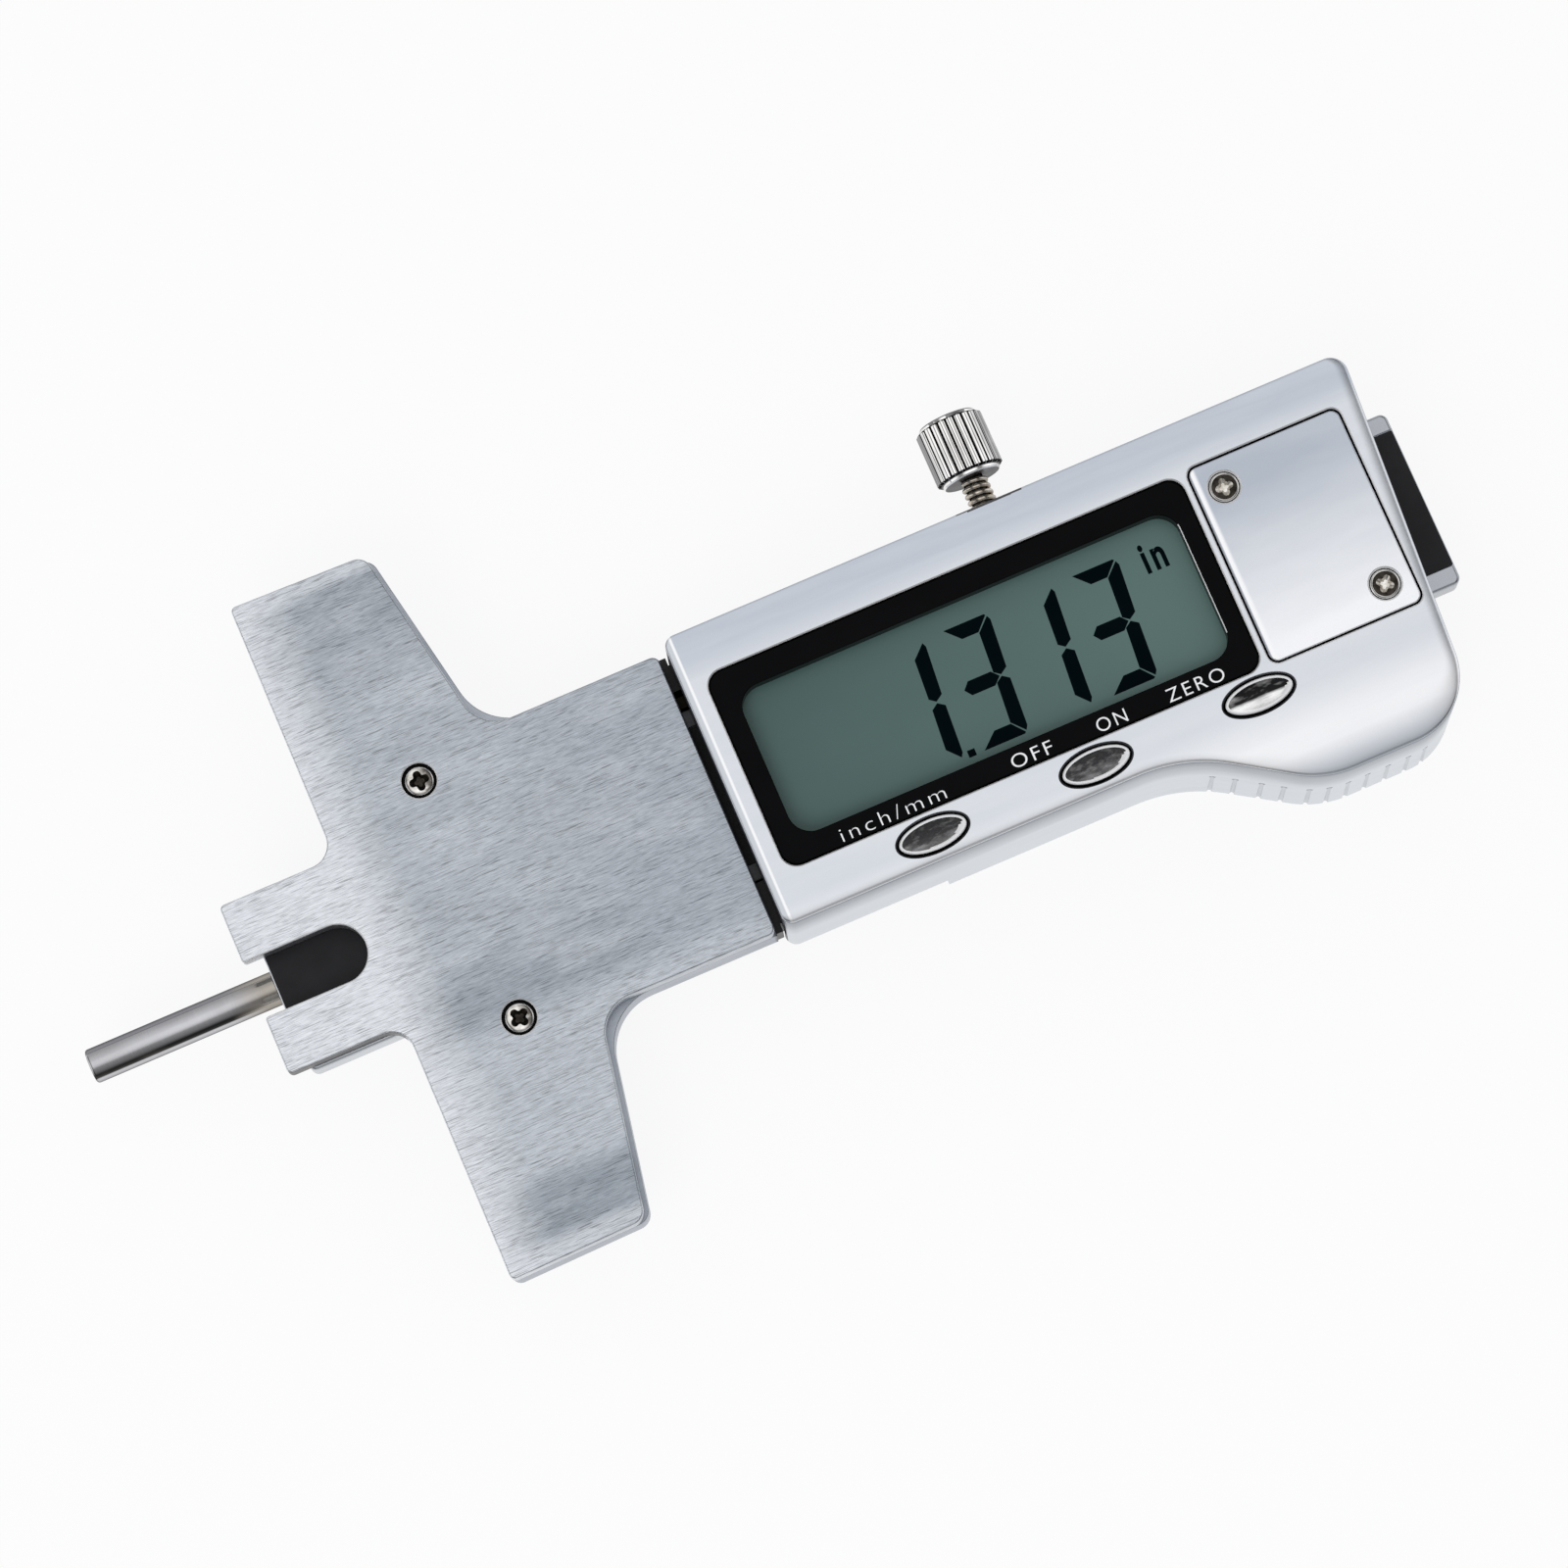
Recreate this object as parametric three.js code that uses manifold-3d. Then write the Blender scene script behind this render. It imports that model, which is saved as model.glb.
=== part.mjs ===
// Digital depth gauge with a T-shaped base, a sliding beam and an LCD housing.
// All lengths are millimetres. X runs along the beam from the measuring feet to the housing,
// Y runs across the gauge towards the lock screw, and Z rises from the flat back to the display.
// The gauge is laid out from the plane of its feet (X = 0) and the axis of its beam (Y = 0).
// The finished group is moved so that the origin is the middle of the housing's flat back.

import * as THREE from 'three';
import { mergeVertices } from 'three/addons/utils/BufferGeometryUtils.js';
import Module from 'manifold-3d';

const wasm = await Module();
wasm.setup();

// Beam, scale strip and depth rod
const beamWidth = 16;
const beamThickness = 3;
const beamLength = 105.2;
const beamCornerRadius = 0.7;
const beamChamfer = 0.3;
const stripRecessWidth = 12.9;
const stripRecessDepth = 0.3;
const stripThickness = 0.25;
const stripSideGap = 0.1;
const stripSeatGap = 0.02;
const rodDiameter = 3;
const rodStandout = 16.9;
const rodShown = 15.2;
const rodTipChamfer = 0.25;
const rodShoulderGap = 0.05;
const spigotDiameter = 2;
const spigotLength = 5.5;
const spigotGap = 0.15;
const spigotEndGap = 0.5;

// Travel of the beam: in until the rod is flush with the feet, out to the full depth
const travelLength = 25.4;

// T-shaped base plate
const plateThickness = 1.9;
const plateEdgeBevel = 0.15;
const footLength = 10.45;
const footWidth = 15.4;
const footCornerRadius = 0.8;
const footRootRadius = 2;
const notchWidth = 5;
const notchDepth = 10.1;
const notchMouthRadius = 0.3;
const crossbarSpan = 61.8;
const armTipWidth = 12.15;
const armRootWidth = 15.5;
const armTipSlant = 0.3;
const armInnerCornerRadius = 0.8;
const armOuterCornerRadius = 1.3;
const stemWidth = 25.7;
const stemRootRadius = 3.2;
const stemCornerRadius = 0.7;
const baseLength = 42;
const seatGap = 0.02;

// Screws of the base plate
const baseScrewSpacing = 21.8;
const baseScrewInset = 9.05;
const baseScrewHeadDiameter = 3.1;
const baseScrewHeadHeight = 0.75;
const baseScrewShankDiameter = 1.6;
const baseScrewLength = 4.2;
const baseScrewBoreGap = 0.13;
const baseScrewSink = 0.12;

// Frame: T-shaped body with the channel of the beam
const frameArmLip = 0.4;
const frameRootRadius = 5;
const beamSideGap = 0.05;
const beamTopGap = 0.1;
const beamFloorGap = 0.15;
const gibSlotWidth = 1.65;
const webThickness = 1.55;
const webHalfWidth = 10.6;
const webSetback = 1.5;
const tongueWidth = 25.4;
const tongueLength = 0.6;
const housedFrameWidth = 24;
const frameEndGap = 0.45;
const gibSlotEndMargin = 3.5;

// Gib, its leaf spring and its set screws
const gibThickness = 1;
const gibSideGap = 0.12;
const gibHeightGap = 0.05;
const gibStartInset = 4.55;
const gibSpringThickness = 0.18;
const gibSpringBow = 0.3;
const gibSpringHeight = 2.2;
const gibSpringLength = 22;
const gibSpringInset = 3.25;
const gibSpringGap = 0.05;
const setScrewDiameter = 1.6;
const setScrewGap = 0.1;
const setScrewTipGap = 0.12;
const setScrewSink = 0.3;
const setScrewSlotWidth = 0.35;
const setScrewSlotDepth = 0.5;
const setScrewEndInset = 3;
const setScrewSpacing = 5.5;

// Stop screw in the web of the frame, and its groove in the beam
const stopScrewDiameter = 1.6;
const stopScrewGap = 0.12;
const stopScrewOffset = 17;
const stopScrewSink = 0.15;
const stopGrooveDepth = 0.9;
const stopGrooveSideGap = 0.3;
const stopGrooveEndGap = 0.3;
const stopTipGap = 0.2;

// Housing
const housingGap = 0.75;
const housingWidth = 26.4;
const housingWall = 0.8;
const housingFrontWall = 1.5;
const housingFlare = 0.3;
const housingEdgeRadius = 0.9;
const housingCornerRadius = 1;
const housingEndRadius = 1.5;
const housingEndSlant = 2.15;
const housingLedge = 0.5;
const shallowLength = 14.65;
const shallowHeight = 2.1;
const frameClearance = 0.3;

// Thumb grip on the lower edge of the housing
const gripDrop = 6.45;
const gripSlopeRun = 10.1;
const gripRootFromEnd = 26.1;
const gripRootRadius = 14;
const gripShoulderRadius = 4;
const gripEndRadius = 6;
const fluteCount = 11;
const flutePitch = 1.72;
const fluteRadius = 0.45;
const fluteTop = 7;
const fluteFirstFromEnd = 24.05;

// Display window, display and its connectors
const windowLength = 43.3;
const windowWidth = 17.9;
const windowInset = 1.95;
const windowCornerRadius = 1.5;
const windowGap = 0.15;
const windowThickness = 0.9;
const windowSeatGap = 0.05;
const windowLip = 1.2;
const openingLeftInset = 1.9;
const openingRightInset = 1.75;
const openingTopInset = 2.35;
const openingBottomInset = 2.17;
const openingCornerRadius = 2;
const displayEndOverlap = 0.55;
const displaySideOverlap = 0.05;
const displayThickness = 1.6;
const displayCoverGap = 0.1;
const displayCornerRadius = 0.3;
const connectorWidth = 1.2;
const connectorHeight = 1.15;
const connectorEndInset = 2;
const connectorInset = 0.5;
const connectorGap = 0.05;

// Circuit board, chip and rubber keypad
const boardThickness = 0.8;
const boardSeatGap = 0.05;
const boardSideGap = 0.3;
const boardEndGap = 0.4;
const boardNotch = 3.9;
const chipSize = 6;
const chipHeight = 0.7;
const chipOffset = 8;
const keypadWidth = 2.4;
const keypadHeight = 0.6;
const keypadOverhang = 2.2;
const pipHeight = 0.15;
const pipRadius = 0.7;
const pegRadius = 0.9;
const pegInset = 4;

// Buttons
const buttonLength = 5.9;
const buttonWidth = 2.6;
const buttonGap = 0.25;
const buttonProud = 0.35;
const buttonDome = 0.3;
const buttonDomeInset = 0.45;
const buttonFlangeLength = 7.6;
const buttonFlangeThickness = 0.7;
const buttonFlangeGap = 0.3;
const buttonPocketGap = 0.4;
const buttonStemRadius = 0.7;
const buttonTravel = 0.5;
const buttonTouchGap = 0.05;
const buttonEdgeInset = 2.25;
const buttonFirst = 14.25;
const buttonSpacing = 14.78;

// Battery cover, its screws, the cell and what holds it
const coverLength = 13.45;
const coverGap = 0.3;
const coverCornerRadius = 1.7;
const coverThickness = 0.9;
const coverEndInset = 2.55;
const coverFromWindow = 0.85;
const coverScrewInsetX = 2.25;
const coverScrewFromCell = 0.65;
const coverScrewHeadDiameter = 2.4;
const coverScrewHeadHeight = 0.5;
const coverScrewShankDiameter = 1.3;
const coverScrewLength = 3.1;
const coverScrewBoreGap = 0.35;
const coverBossRadius = 1.2;
const cellDiameter = 11.6;
const cellHeight = 2.95;
const cellStep = 0.5;
const cellCapRadius = 4.6;
const cellSideGap = 0.15;
const cellLidGap = 0.2;
const cellHoleGap = 0.3;
const trayWall = 0.5;
const trayFloor = 0.5;
const trayTopGap = 0.1;
const trayNotchWidth = 7;
const contactThickness = 0.2;
const contactWidth = 2.2;
const contactSplit = 0.8;
const contactPad = 2.6;
const contactReach = 0.9;
const contactGap = 0.05;
const contactFreeHeight = 2.3;

// Rear cover and its screws
const rearCoverThickness = 1.4;
const rearCoverGap = 0.15;
const rearPadHeight = 1.15;
const rearPadRadius = 1.9;
const rearScrewHeadDiameter = 2.3;
const rearScrewHeadHeight = 0.6;
const rearScrewShankDiameter = 1.3;
const rearScrewLength = 9.6;
const rearScrewBoreGap = 0.12;
const rearScrewSink = 0.1;
const rearScrewHeadGap = 0.15;
const rearScrewEndInset = 3.4;
const rearScrewSideInset = 2.55;
const postRadius = 1.55;

// Lock screw
const lockThreadDiameter = 2.5;
const lockThreadPitch = 0.5;
const lockThreadDepth = 0.22;
const lockBoreGap = 0.1;
const lockHousingGap = 0.25;
const lockTipGap = 0.25;
const lockTipLength = 0.6;
const lockNeckLength = 3.55;
const lockHeadDiameter = 6;
const lockHeadHeight = 5.6;
const lockCollarDiameter = 5.2;
const lockCollarHeight = 0.35;
const lockToothCount = 24;
const lockToothDepth = 0.32;
const lockFromHousing = 29.95;
const lockLowering = 0.2;
const lockReliefDiameter = 6.2;
const lockReliefDepth = 0.2;

// Small shared values
const cutOverrun = 1;
const crossRecessWidth = 0.42;
const arcSegments = 6;
const roundSegments = 20;
const smallSegments = 14;

// Heights above the flat back
const webBottom = rearCoverThickness + rearPadHeight + boardSeatGap;
const channelFloor = webBottom + webThickness;
const beamBottom = channelFloor + beamFloorGap;
const beamTop = beamBottom + beamThickness;
const beamMiddle = (beamBottom + beamTop) / 2;
const railTop = beamTop + beamTopGap;
const plateBottom = railTop + seatGap;
const plateTop = plateBottom + plateThickness;
const boardBottom = railTop + boardSeatGap;
const boardTop = boardBottom + boardThickness;
const keypadBottom = boardTop + connectorGap;
const keypadTop = keypadBottom + keypadHeight + pipHeight;
const contactBottom = boardTop + contactGap;
const cellBottom = contactBottom + contactThickness + contactGap;
const cellTop = cellBottom + cellHeight;
const displayBottom = boardTop + connectorHeight + 2 * connectorGap;
const displayTop = displayBottom + displayThickness;
const frontInside = Math.max(displayTop + displayCoverGap, cellTop + cellLidGap - housingLedge);
const ledgeTop = frontInside + housingLedge;
const housingDepth = frontInside + housingFrontWall;

// Places along and across the gauge
const beamLeft = rodStandout - rodShown;
const beamRight = beamLeft + beamLength;
const beamHalf = beamWidth / 2;
const stemHalf = stemWidth / 2;
const footHalf = footWidth / 2;
const armHalf = crossbarSpan / 2;
const baseScrewX = footLength + baseScrewInset;
const armRootX = footLength + armRootWidth;
const channelHalf = beamHalf + beamSideGap;
const gibSlotTop = channelHalf + gibSlotWidth;
const housingLeft = baseLength + housingGap;
const windowLeft = housingLeft + windowInset;
const windowRight = windowLeft + windowLength;
const windowMiddle = (windowLeft + windowRight) / 2;
const coverLeft = windowRight + coverFromWindow;
const coverRight = coverLeft + coverLength;
const coverWidth = windowWidth - 2 * windowGap;
const cellX = (coverLeft + coverRight) / 2;
const housingRight = coverRight + coverEndInset;
const housingHalf = housingWidth / 2;
const cavityHalf = housingHalf - housingWall;
const frameRight = housingRight - housingEndSlant - housingWall - frameEndGap;
const housedHalf = housedFrameWidth / 2;
const gibEnd = frameRight - gibSlotEndMargin;
const gibInner = beamHalf + gibSideGap;
const gibOuter = gibInner + gibThickness;
const displayLength = windowLength - 2 * windowLip + 2 * displayEndOverlap;
const displayWidth = windowWidth - 2 * windowLip + 2 * displaySideOverlap;
const buttonY = -(housingHalf - buttonEdgeInset);
const buttonPlaces = [0, 1, 2].map((i) => housingLeft + buttonFirst + i * buttonSpacing);
const boardLeft = housingLeft + housingWall + boardEndGap;
const boardRight = coverLeft - contactReach;
const boardHalf = cavityHalf - boardSideGap;
const lockX = housingLeft + lockFromHousing;
const lockZ = beamMiddle - lockLowering;
const stopX = housingLeft + stopScrewOffset;
const rearScrewY = housingHalf - rearScrewSideInset;
const rearScrewPlaces = [
  [housingLeft + rearScrewEndInset, rearScrewY],
  [housingLeft + rearScrewEndInset, -rearScrewY],
  [frameRight - gibSlotEndMargin / 2, rearScrewY],
  [frameRight - gibSlotEndMargin / 2, -rearScrewY],
];
const coverScrewY = cellDiameter / 2 + coverScrewFromCell;
const coverScrewPlaces = [
  [coverLeft + coverScrewInsetX, coverScrewY],
  [coverRight - coverScrewInsetX, -coverScrewY],
];

// Solids: closed meshes that can be joined and cut
function toSolid(geometry) {
  const bare = geometry.index ? geometry.toNonIndexed() : geometry.clone();
  bare.deleteAttribute('normal');
  bare.deleteAttribute('uv');
  const merged = mergeVertices(bare);
  const vertProperties = new Float32Array(merged.attributes.position.array);
  const triVerts = new Uint32Array(merged.index.array);
  return new wasm.Manifold(new wasm.Mesh({ numProp: 3, vertProperties, triVerts }));
}

function toGeometry(solid) {
  const mesh = solid.getMesh();
  const geometry = new THREE.BufferGeometry();
  geometry.setAttribute('position', new THREE.BufferAttribute(mesh.vertProperties, 3));
  geometry.setIndex(new THREE.BufferAttribute(mesh.triVerts, 1));
  geometry.computeVertexNormals();
  return geometry;
}

// A closed outline from corners [x, y, radius], each rounded by an arc of its radius
function outline(corners) {
  const shape = new THREE.Shape();
  corners.forEach(([x, y, radius], i) => {
    const corner = new THREE.Vector2(x, y);
    if (!radius) {
      if (i) shape.lineTo(x, y);
      else shape.moveTo(x, y);
      return;
    }
    const [px, py] = corners[(i + corners.length - 1) % corners.length];
    const [nx, ny] = corners[(i + 1) % corners.length];
    const back = new THREE.Vector2(px, py).sub(corner).normalize();
    const ahead = new THREE.Vector2(nx, ny).sub(corner).normalize();
    const half = Math.acos(back.dot(ahead)) / 2;
    const bisector = back.clone().add(ahead).normalize();
    const centre = corner.clone().addScaledVector(bisector, radius / Math.sin(half));
    const start = corner.clone().addScaledVector(back, radius / Math.tan(half)).sub(centre);
    const end = corner.clone().addScaledVector(ahead, radius / Math.tan(half)).sub(centre);
    const clockwise = back.cross(ahead) > 0;
    if (i) shape.lineTo(centre.x + start.x, centre.y + start.y);
    else shape.moveTo(centre.x + start.x, centre.y + start.y);
    shape.absarc(centre.x, centre.y, radius, start.angle(), end.angle(), clockwise);
  });
  shape.closePath();
  return shape;
}

function rectangle(left, right, bottom, top, radius) {
  return outline([
    [left, bottom, radius],
    [right, bottom, radius],
    [right, top, radius],
    [left, top, radius],
  ]);
}

// A plate of the given outline between two heights, with an optional bevel on both faces
function plate(shape, bottom, top, bevel = 0, bevelSegments = 1, curveSegments = arcSegments) {
  const geometry = new THREE.ExtrudeGeometry(shape, {
    depth: top - bottom - 2 * bevel,
    curveSegments,
    bevelEnabled: bevel > 0,
    bevelThickness: bevel,
    bevelSize: bevel,
    bevelOffset: -bevel,
    bevelSegments,
  });
  geometry.translate(0, 0, bottom + bevel);
  return geometry;
}

function box([x0, y0, z0], [x1, y1, z1]) {
  const geometry = new THREE.BoxGeometry(x1 - x0, y1 - y0, z1 - z0);
  geometry.translate((x0 + x1) / 2, (y0 + y1) / 2, (z0 + z1) / 2);
  return toSolid(geometry);
}

function upright(radius, x, y, bottom, top, segments = smallSegments) {
  const geometry = new THREE.CylinderGeometry(radius, radius, top - bottom, segments);
  geometry.rotateX(Math.PI / 2);
  geometry.translate(x, y, (bottom + top) / 2);
  return toSolid(geometry);
}

function alongY(radius, x, z, from, to, segments = roundSegments) {
  const geometry = new THREE.CylinderGeometry(radius, radius, to - from, segments);
  geometry.translate(x, (from + to) / 2, z);
  return toSolid(geometry);
}

function alongX(radius, y, z, from, to, segments = roundSegments) {
  const geometry = new THREE.CylinderGeometry(radius, radius, to - from, segments);
  geometry.rotateZ(Math.PI / 2);
  geometry.translate((from + to) / 2, y, z);
  return toSolid(geometry);
}

function lathe(profile, segments = roundSegments) {
  const points = profile.map(([radius, height]) => new THREE.Vector2(radius, height));
  return new THREE.LatheGeometry(points, segments);
}

function joined(solids) {
  return solids.reduce((whole, solid) => whole.add(solid));
}

function cut(body, solids) {
  return solids.reduce((whole, solid) => whole.subtract(solid), body);
}

// A pan-head screw that points down, with the top of its head at height 0
function panScrew(headDiameter, headHeight, shankDiameter, length) {
  const headRadius = headDiameter / 2;
  const shankRadius = shankDiameter / 2;
  const profile = [
    [0, -headHeight - length],
    [shankRadius - crossRecessWidth / 2, -headHeight - length],
    [shankRadius, -headHeight - length + crossRecessWidth / 2],
    [shankRadius, -headHeight],
    [headRadius, -headHeight],
    [headRadius, -headHeight / 2],
    [headRadius - headHeight / 4, -headHeight / 8],
    [headRadius - headHeight / 2, 0],
    [0, 0],
  ];
  const body = lathe(profile, smallSegments);
  body.rotateX(Math.PI / 2);
  const armLength = headRadius - headHeight / 2;
  const depth = headHeight / 2;
  const recess = [[armLength, crossRecessWidth / 2], [crossRecessWidth / 2, armLength]];
  const cutters = recess.map(([x, y]) => box([-x, -y, -depth], [x, y, cutOverrun]));
  return toGeometry(cut(toSolid(body), [joined(cutters)]));
}

// Materials
function metal(color, roughness) {
  return new THREE.MeshStandardMaterial({ color, roughness, metalness: 1 });
}

function dielectric(color, roughness) {
  return new THREE.MeshStandardMaterial({ color, roughness, metalness: 0 });
}

const gauge = new THREE.Group();
gauge.position.x = -(housingLeft + housingRight) / 2;

function piece(name, geometry, material, place = [0, 0, 0]) {
  const mesh = new THREE.Mesh(geometry, material);
  mesh.name = name;
  mesh.position.set(...place);
  gauge.add(mesh);
  return mesh;
}

// Base plate
function basePlateOutline() {
  const upper = [
    [0, notchWidth / 2, notchMouthRadius],
    [0, footHalf, footCornerRadius],
    [footLength, footHalf, footRootRadius],
    [footLength, armHalf, armInnerCornerRadius],
    [footLength + armTipWidth, armHalf - armTipSlant, armOuterCornerRadius],
    [armRootX, stemHalf, stemRootRadius],
    [baseLength, stemHalf, stemCornerRadius],
  ];
  const lower = upper.map(([x, y, radius]) => [x, -y, radius]).reverse();
  const notchEnd = [
    [notchDepth, -notchWidth / 2, notchWidth / 2],
    [notchDepth, notchWidth / 2, notchWidth / 2],
  ];
  return outline([...upper, ...lower, ...notchEnd]);
}

function makeBasePlate() {
  const body = toSolid(plate(basePlateOutline(), plateBottom, plateTop, plateEdgeBevel));
  const holes = [];
  for (const side of [1, -1]) {
    const y = side * baseScrewSpacing / 2;
    const boreRadius = baseScrewShankDiameter / 2 + baseScrewBoreGap;
    const sinkRadius = baseScrewHeadDiameter / 2 + baseScrewBoreGap;
    const sinkFloor = plateTop - baseScrewSink - baseScrewHeadHeight - seatGap;
    holes.push(upright(boreRadius, baseScrewX, y, plateBottom - cutOverrun, plateTop));
    holes.push(upright(sinkRadius, baseScrewX, y, sinkFloor, plateTop + cutOverrun, roundSegments));
  }
  return toGeometry(cut(body, holes));
}

function makeBaseScrews() {
  ['base_screw_upper', 'base_screw_lower'].forEach((name, i) => {
    const y = (i ? -1 : 1) * baseScrewSpacing / 2;
    const head = [baseScrewX, y, plateTop - baseScrewSink];
    const screw = panScrew(
      baseScrewHeadDiameter,
      baseScrewHeadHeight,
      baseScrewShankDiameter,
      baseScrewLength,
    );
    piece(name, screw, metal(0xb8b4ae, 0.3), head);
  });
}

// Frame
function frameOutline() {
  const upper = [
    [footLength, armHalf, armInnerCornerRadius],
    [footLength + armTipWidth + frameArmLip, armHalf - armTipSlant, armOuterCornerRadius],
    [armRootX + frameArmLip, stemHalf, frameRootRadius],
    [baseLength, stemHalf, 0],
  ];
  return outline([...upper, ...upper.map(([x, y, radius]) => [x, -y, radius]).reverse()]);
}

function frameBody() {
  const tongueEnd = baseLength + tongueLength;
  const head = toSolid(plate(frameOutline(), channelFloor - beamTopGap, railTop));
  const web = box([footLength + webSetback, -webHalfWidth, webBottom], [tongueEnd, webHalfWidth, beamBottom]);
  const tongueStart = baseLength - cutOverrun;
  const tongueBottom = channelFloor - beamTopGap;
  const tongue = box([tongueStart, -tongueWidth / 2, tongueBottom], [tongueEnd, tongueWidth / 2, railTop]);
  const housed = box([tongueStart, -housedHalf, webBottom], [frameRight, housedHalf, railTop]);
  return joined([head, web, tongue, housed]);
}

function setScrewPlaces() {
  const last = baseLength - setScrewEndInset;
  return [last - setScrewSpacing, last];
}

function frameCutters() {
  const top = railTop + cutOverrun;
  const left = -cutOverrun;
  const cutters = [
    box([left, -channelHalf, channelFloor], [frameRight + cutOverrun, channelHalf, top]),
    box([left, 0, channelFloor], [gibEnd, gibSlotTop, top]),
  ];
  const plateBore = baseScrewShankDiameter / 2 + baseScrewBoreGap;
  for (const side of [1, -1]) {
    cutters.push(upright(plateBore, baseScrewX, side * baseScrewSpacing / 2, 0, top));
  }
  const rearBore = rearScrewShankDiameter / 2 + rearScrewBoreGap;
  for (const [x, y] of rearScrewPlaces) cutters.push(upright(rearBore, x, y, 0, top));
  const setBore = setScrewDiameter / 2 + setScrewGap;
  for (const x of setScrewPlaces()) {
    cutters.push(alongY(setBore, x, beamMiddle, channelHalf, stemHalf + cutOverrun, smallSegments));
  }
  const lockBore = lockThreadDiameter / 2 + lockBoreGap;
  cutters.push(alongY(lockBore, lockX, lockZ, channelHalf, housedHalf + cutOverrun));
  const stopBore = stopScrewDiameter / 2 + stopScrewGap;
  cutters.push(upright(stopBore, stopX, 0, 0, channelFloor + cutOverrun));
  return cutters;
}

function makeFrame() {
  return toGeometry(cut(frameBody(), frameCutters()));
}

// Gib, leaf spring and set screws
function makeGib() {
  const shape = rectangle(footLength + gibStartInset, gibEnd - gibSideGap, gibInner, gibOuter, 0);
  return plate(shape, channelFloor + gibHeightGap, railTop - gibHeightGap);
}

function makeGibSpring() {
  const shape = new THREE.Shape();
  const y0 = gibOuter + gibSpringGap;
  const steps = 2 * arcSegments;
  const bow = (i) => gibSpringBow * Math.sin(Math.PI * i / steps);
  const along = (i) => housingLeft + gibSpringInset + gibSpringLength * i / steps;
  shape.moveTo(along(0), y0);
  for (let i = 1; i <= steps; i += 1) shape.lineTo(along(i), y0 + bow(i));
  for (let i = steps; i >= 0; i -= 1) shape.lineTo(along(i), y0 + bow(i) + gibSpringThickness);
  shape.closePath();
  return plate(shape, beamMiddle - gibSpringHeight / 2, beamMiddle + gibSpringHeight / 2);
}

function makeSetScrew() {
  const tip = gibOuter + setScrewTipGap;
  const end = stemHalf - setScrewSink;
  const radius = setScrewDiameter / 2;
  const slot = box(
    [-radius - cutOverrun, end - setScrewSlotDepth, -setScrewSlotWidth / 2],
    [radius + cutOverrun, end + cutOverrun, setScrewSlotWidth / 2],
  );
  return toGeometry(alongY(radius, 0, 0, tip, end, smallSegments).subtract(slot));
}

function makeSetScrews() {
  const places = setScrewPlaces();
  piece('gib_screw_front', makeSetScrew(), metal(0x55555a, 0.45), [places[0], 0, beamMiddle]);
  piece('gib_screw_rear', makeSetScrew(), metal(0x55555a, 0.45), [places[1], 0, beamMiddle]);
}

// Stop screw, set in the web of the frame from behind
function makeStopScrew() {
  const bottom = webBottom + stopScrewSink;
  const radius = stopScrewDiameter / 2;
  const slot = box(
    [-radius - cutOverrun, -setScrewSlotWidth / 2, bottom - cutOverrun],
    [radius + cutOverrun, setScrewSlotWidth / 2, bottom + setScrewSlotDepth],
  );
  const tip = beamBottom + stopGrooveDepth - stopTipGap;
  return toGeometry(upright(radius, 0, 0, bottom, tip).subtract(slot));
}

// Beam with its strip recess, rod bore and stop groove
function makeBeam() {
  const shape = rectangle(beamLeft, beamRight, -beamHalf, beamHalf, beamCornerRadius);
  const body = toSolid(plate(shape, beamBottom, beamTop, beamChamfer));
  const recessHalf = stripRecessWidth / 2;
  const boreEnd = beamLeft + spigotLength + spigotEndGap;
  const reachIn = rodShown;
  const reachOut = travelLength - rodShown;
  const grooveEnd = stopScrewDiameter / 2 + stopGrooveEndGap;
  const grooveHalf = stopScrewDiameter / 2 + stopGrooveSideGap;
  return toGeometry(cut(body, [
    box(
      [beamLeft - cutOverrun, -recessHalf, beamTop - stripRecessDepth],
      [beamRight + cutOverrun, recessHalf, beamTop + cutOverrun],
    ),
    alongX(spigotDiameter / 2 + spigotGap, 0, beamMiddle, beamLeft - cutOverrun, boreEnd),
    box(
      [stopX - reachIn - grooveEnd, -grooveHalf, beamBottom - cutOverrun],
      [stopX + reachOut + grooveEnd, grooveHalf, beamBottom + stopGrooveDepth],
    ),
  ]));
}

function makeScaleStrip() {
  const half = stripRecessWidth / 2 - stripSideGap;
  const bottom = beamTop - stripRecessDepth + stripSeatGap;
  const shape = rectangle(beamLeft + stripSideGap, beamRight - stripSideGap, -half, half, 0);
  return plate(shape, bottom, bottom + stripThickness);
}

function makeDepthRod() {
  const radius = rodDiameter / 2;
  const shoulder = beamLeft - rodShoulderGap;
  const profile = [
    [0, -rodShown],
    [radius - rodTipChamfer, -rodShown],
    [radius, -rodShown + rodTipChamfer],
    [radius, shoulder],
    [spigotDiameter / 2, shoulder],
    [spigotDiameter / 2, beamLeft + spigotLength],
    [0, beamLeft + spigotLength],
  ];
  const geometry = lathe(profile);
  geometry.rotateZ(-Math.PI / 2);
  return geometry;
}

// Housing
function housingOutline(inset = 0) {
  const shift = inset * Math.tan(Math.atan2(gripDrop, gripSlopeRun) / 2);
  const left = housingLeft + inset;
  const side = housingHalf - inset;
  const rootX = housingRight - gripRootFromEnd + shift;
  const gripY = -side - gripDrop;
  return outline([
    [left, side, Math.max(housingCornerRadius - inset, 0)],
    [housingRight - inset, side, Math.max(housingEndRadius - inset, 0)],
    [housingRight - housingEndSlant - inset, gripY, gripEndRadius - inset],
    [rootX + gripSlopeRun, gripY, gripShoulderRadius - inset],
    [rootX, -side, gripRootRadius + inset],
    [left, -side, Math.max(housingCornerRadius - inset, 0)],
  ]);
}

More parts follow.
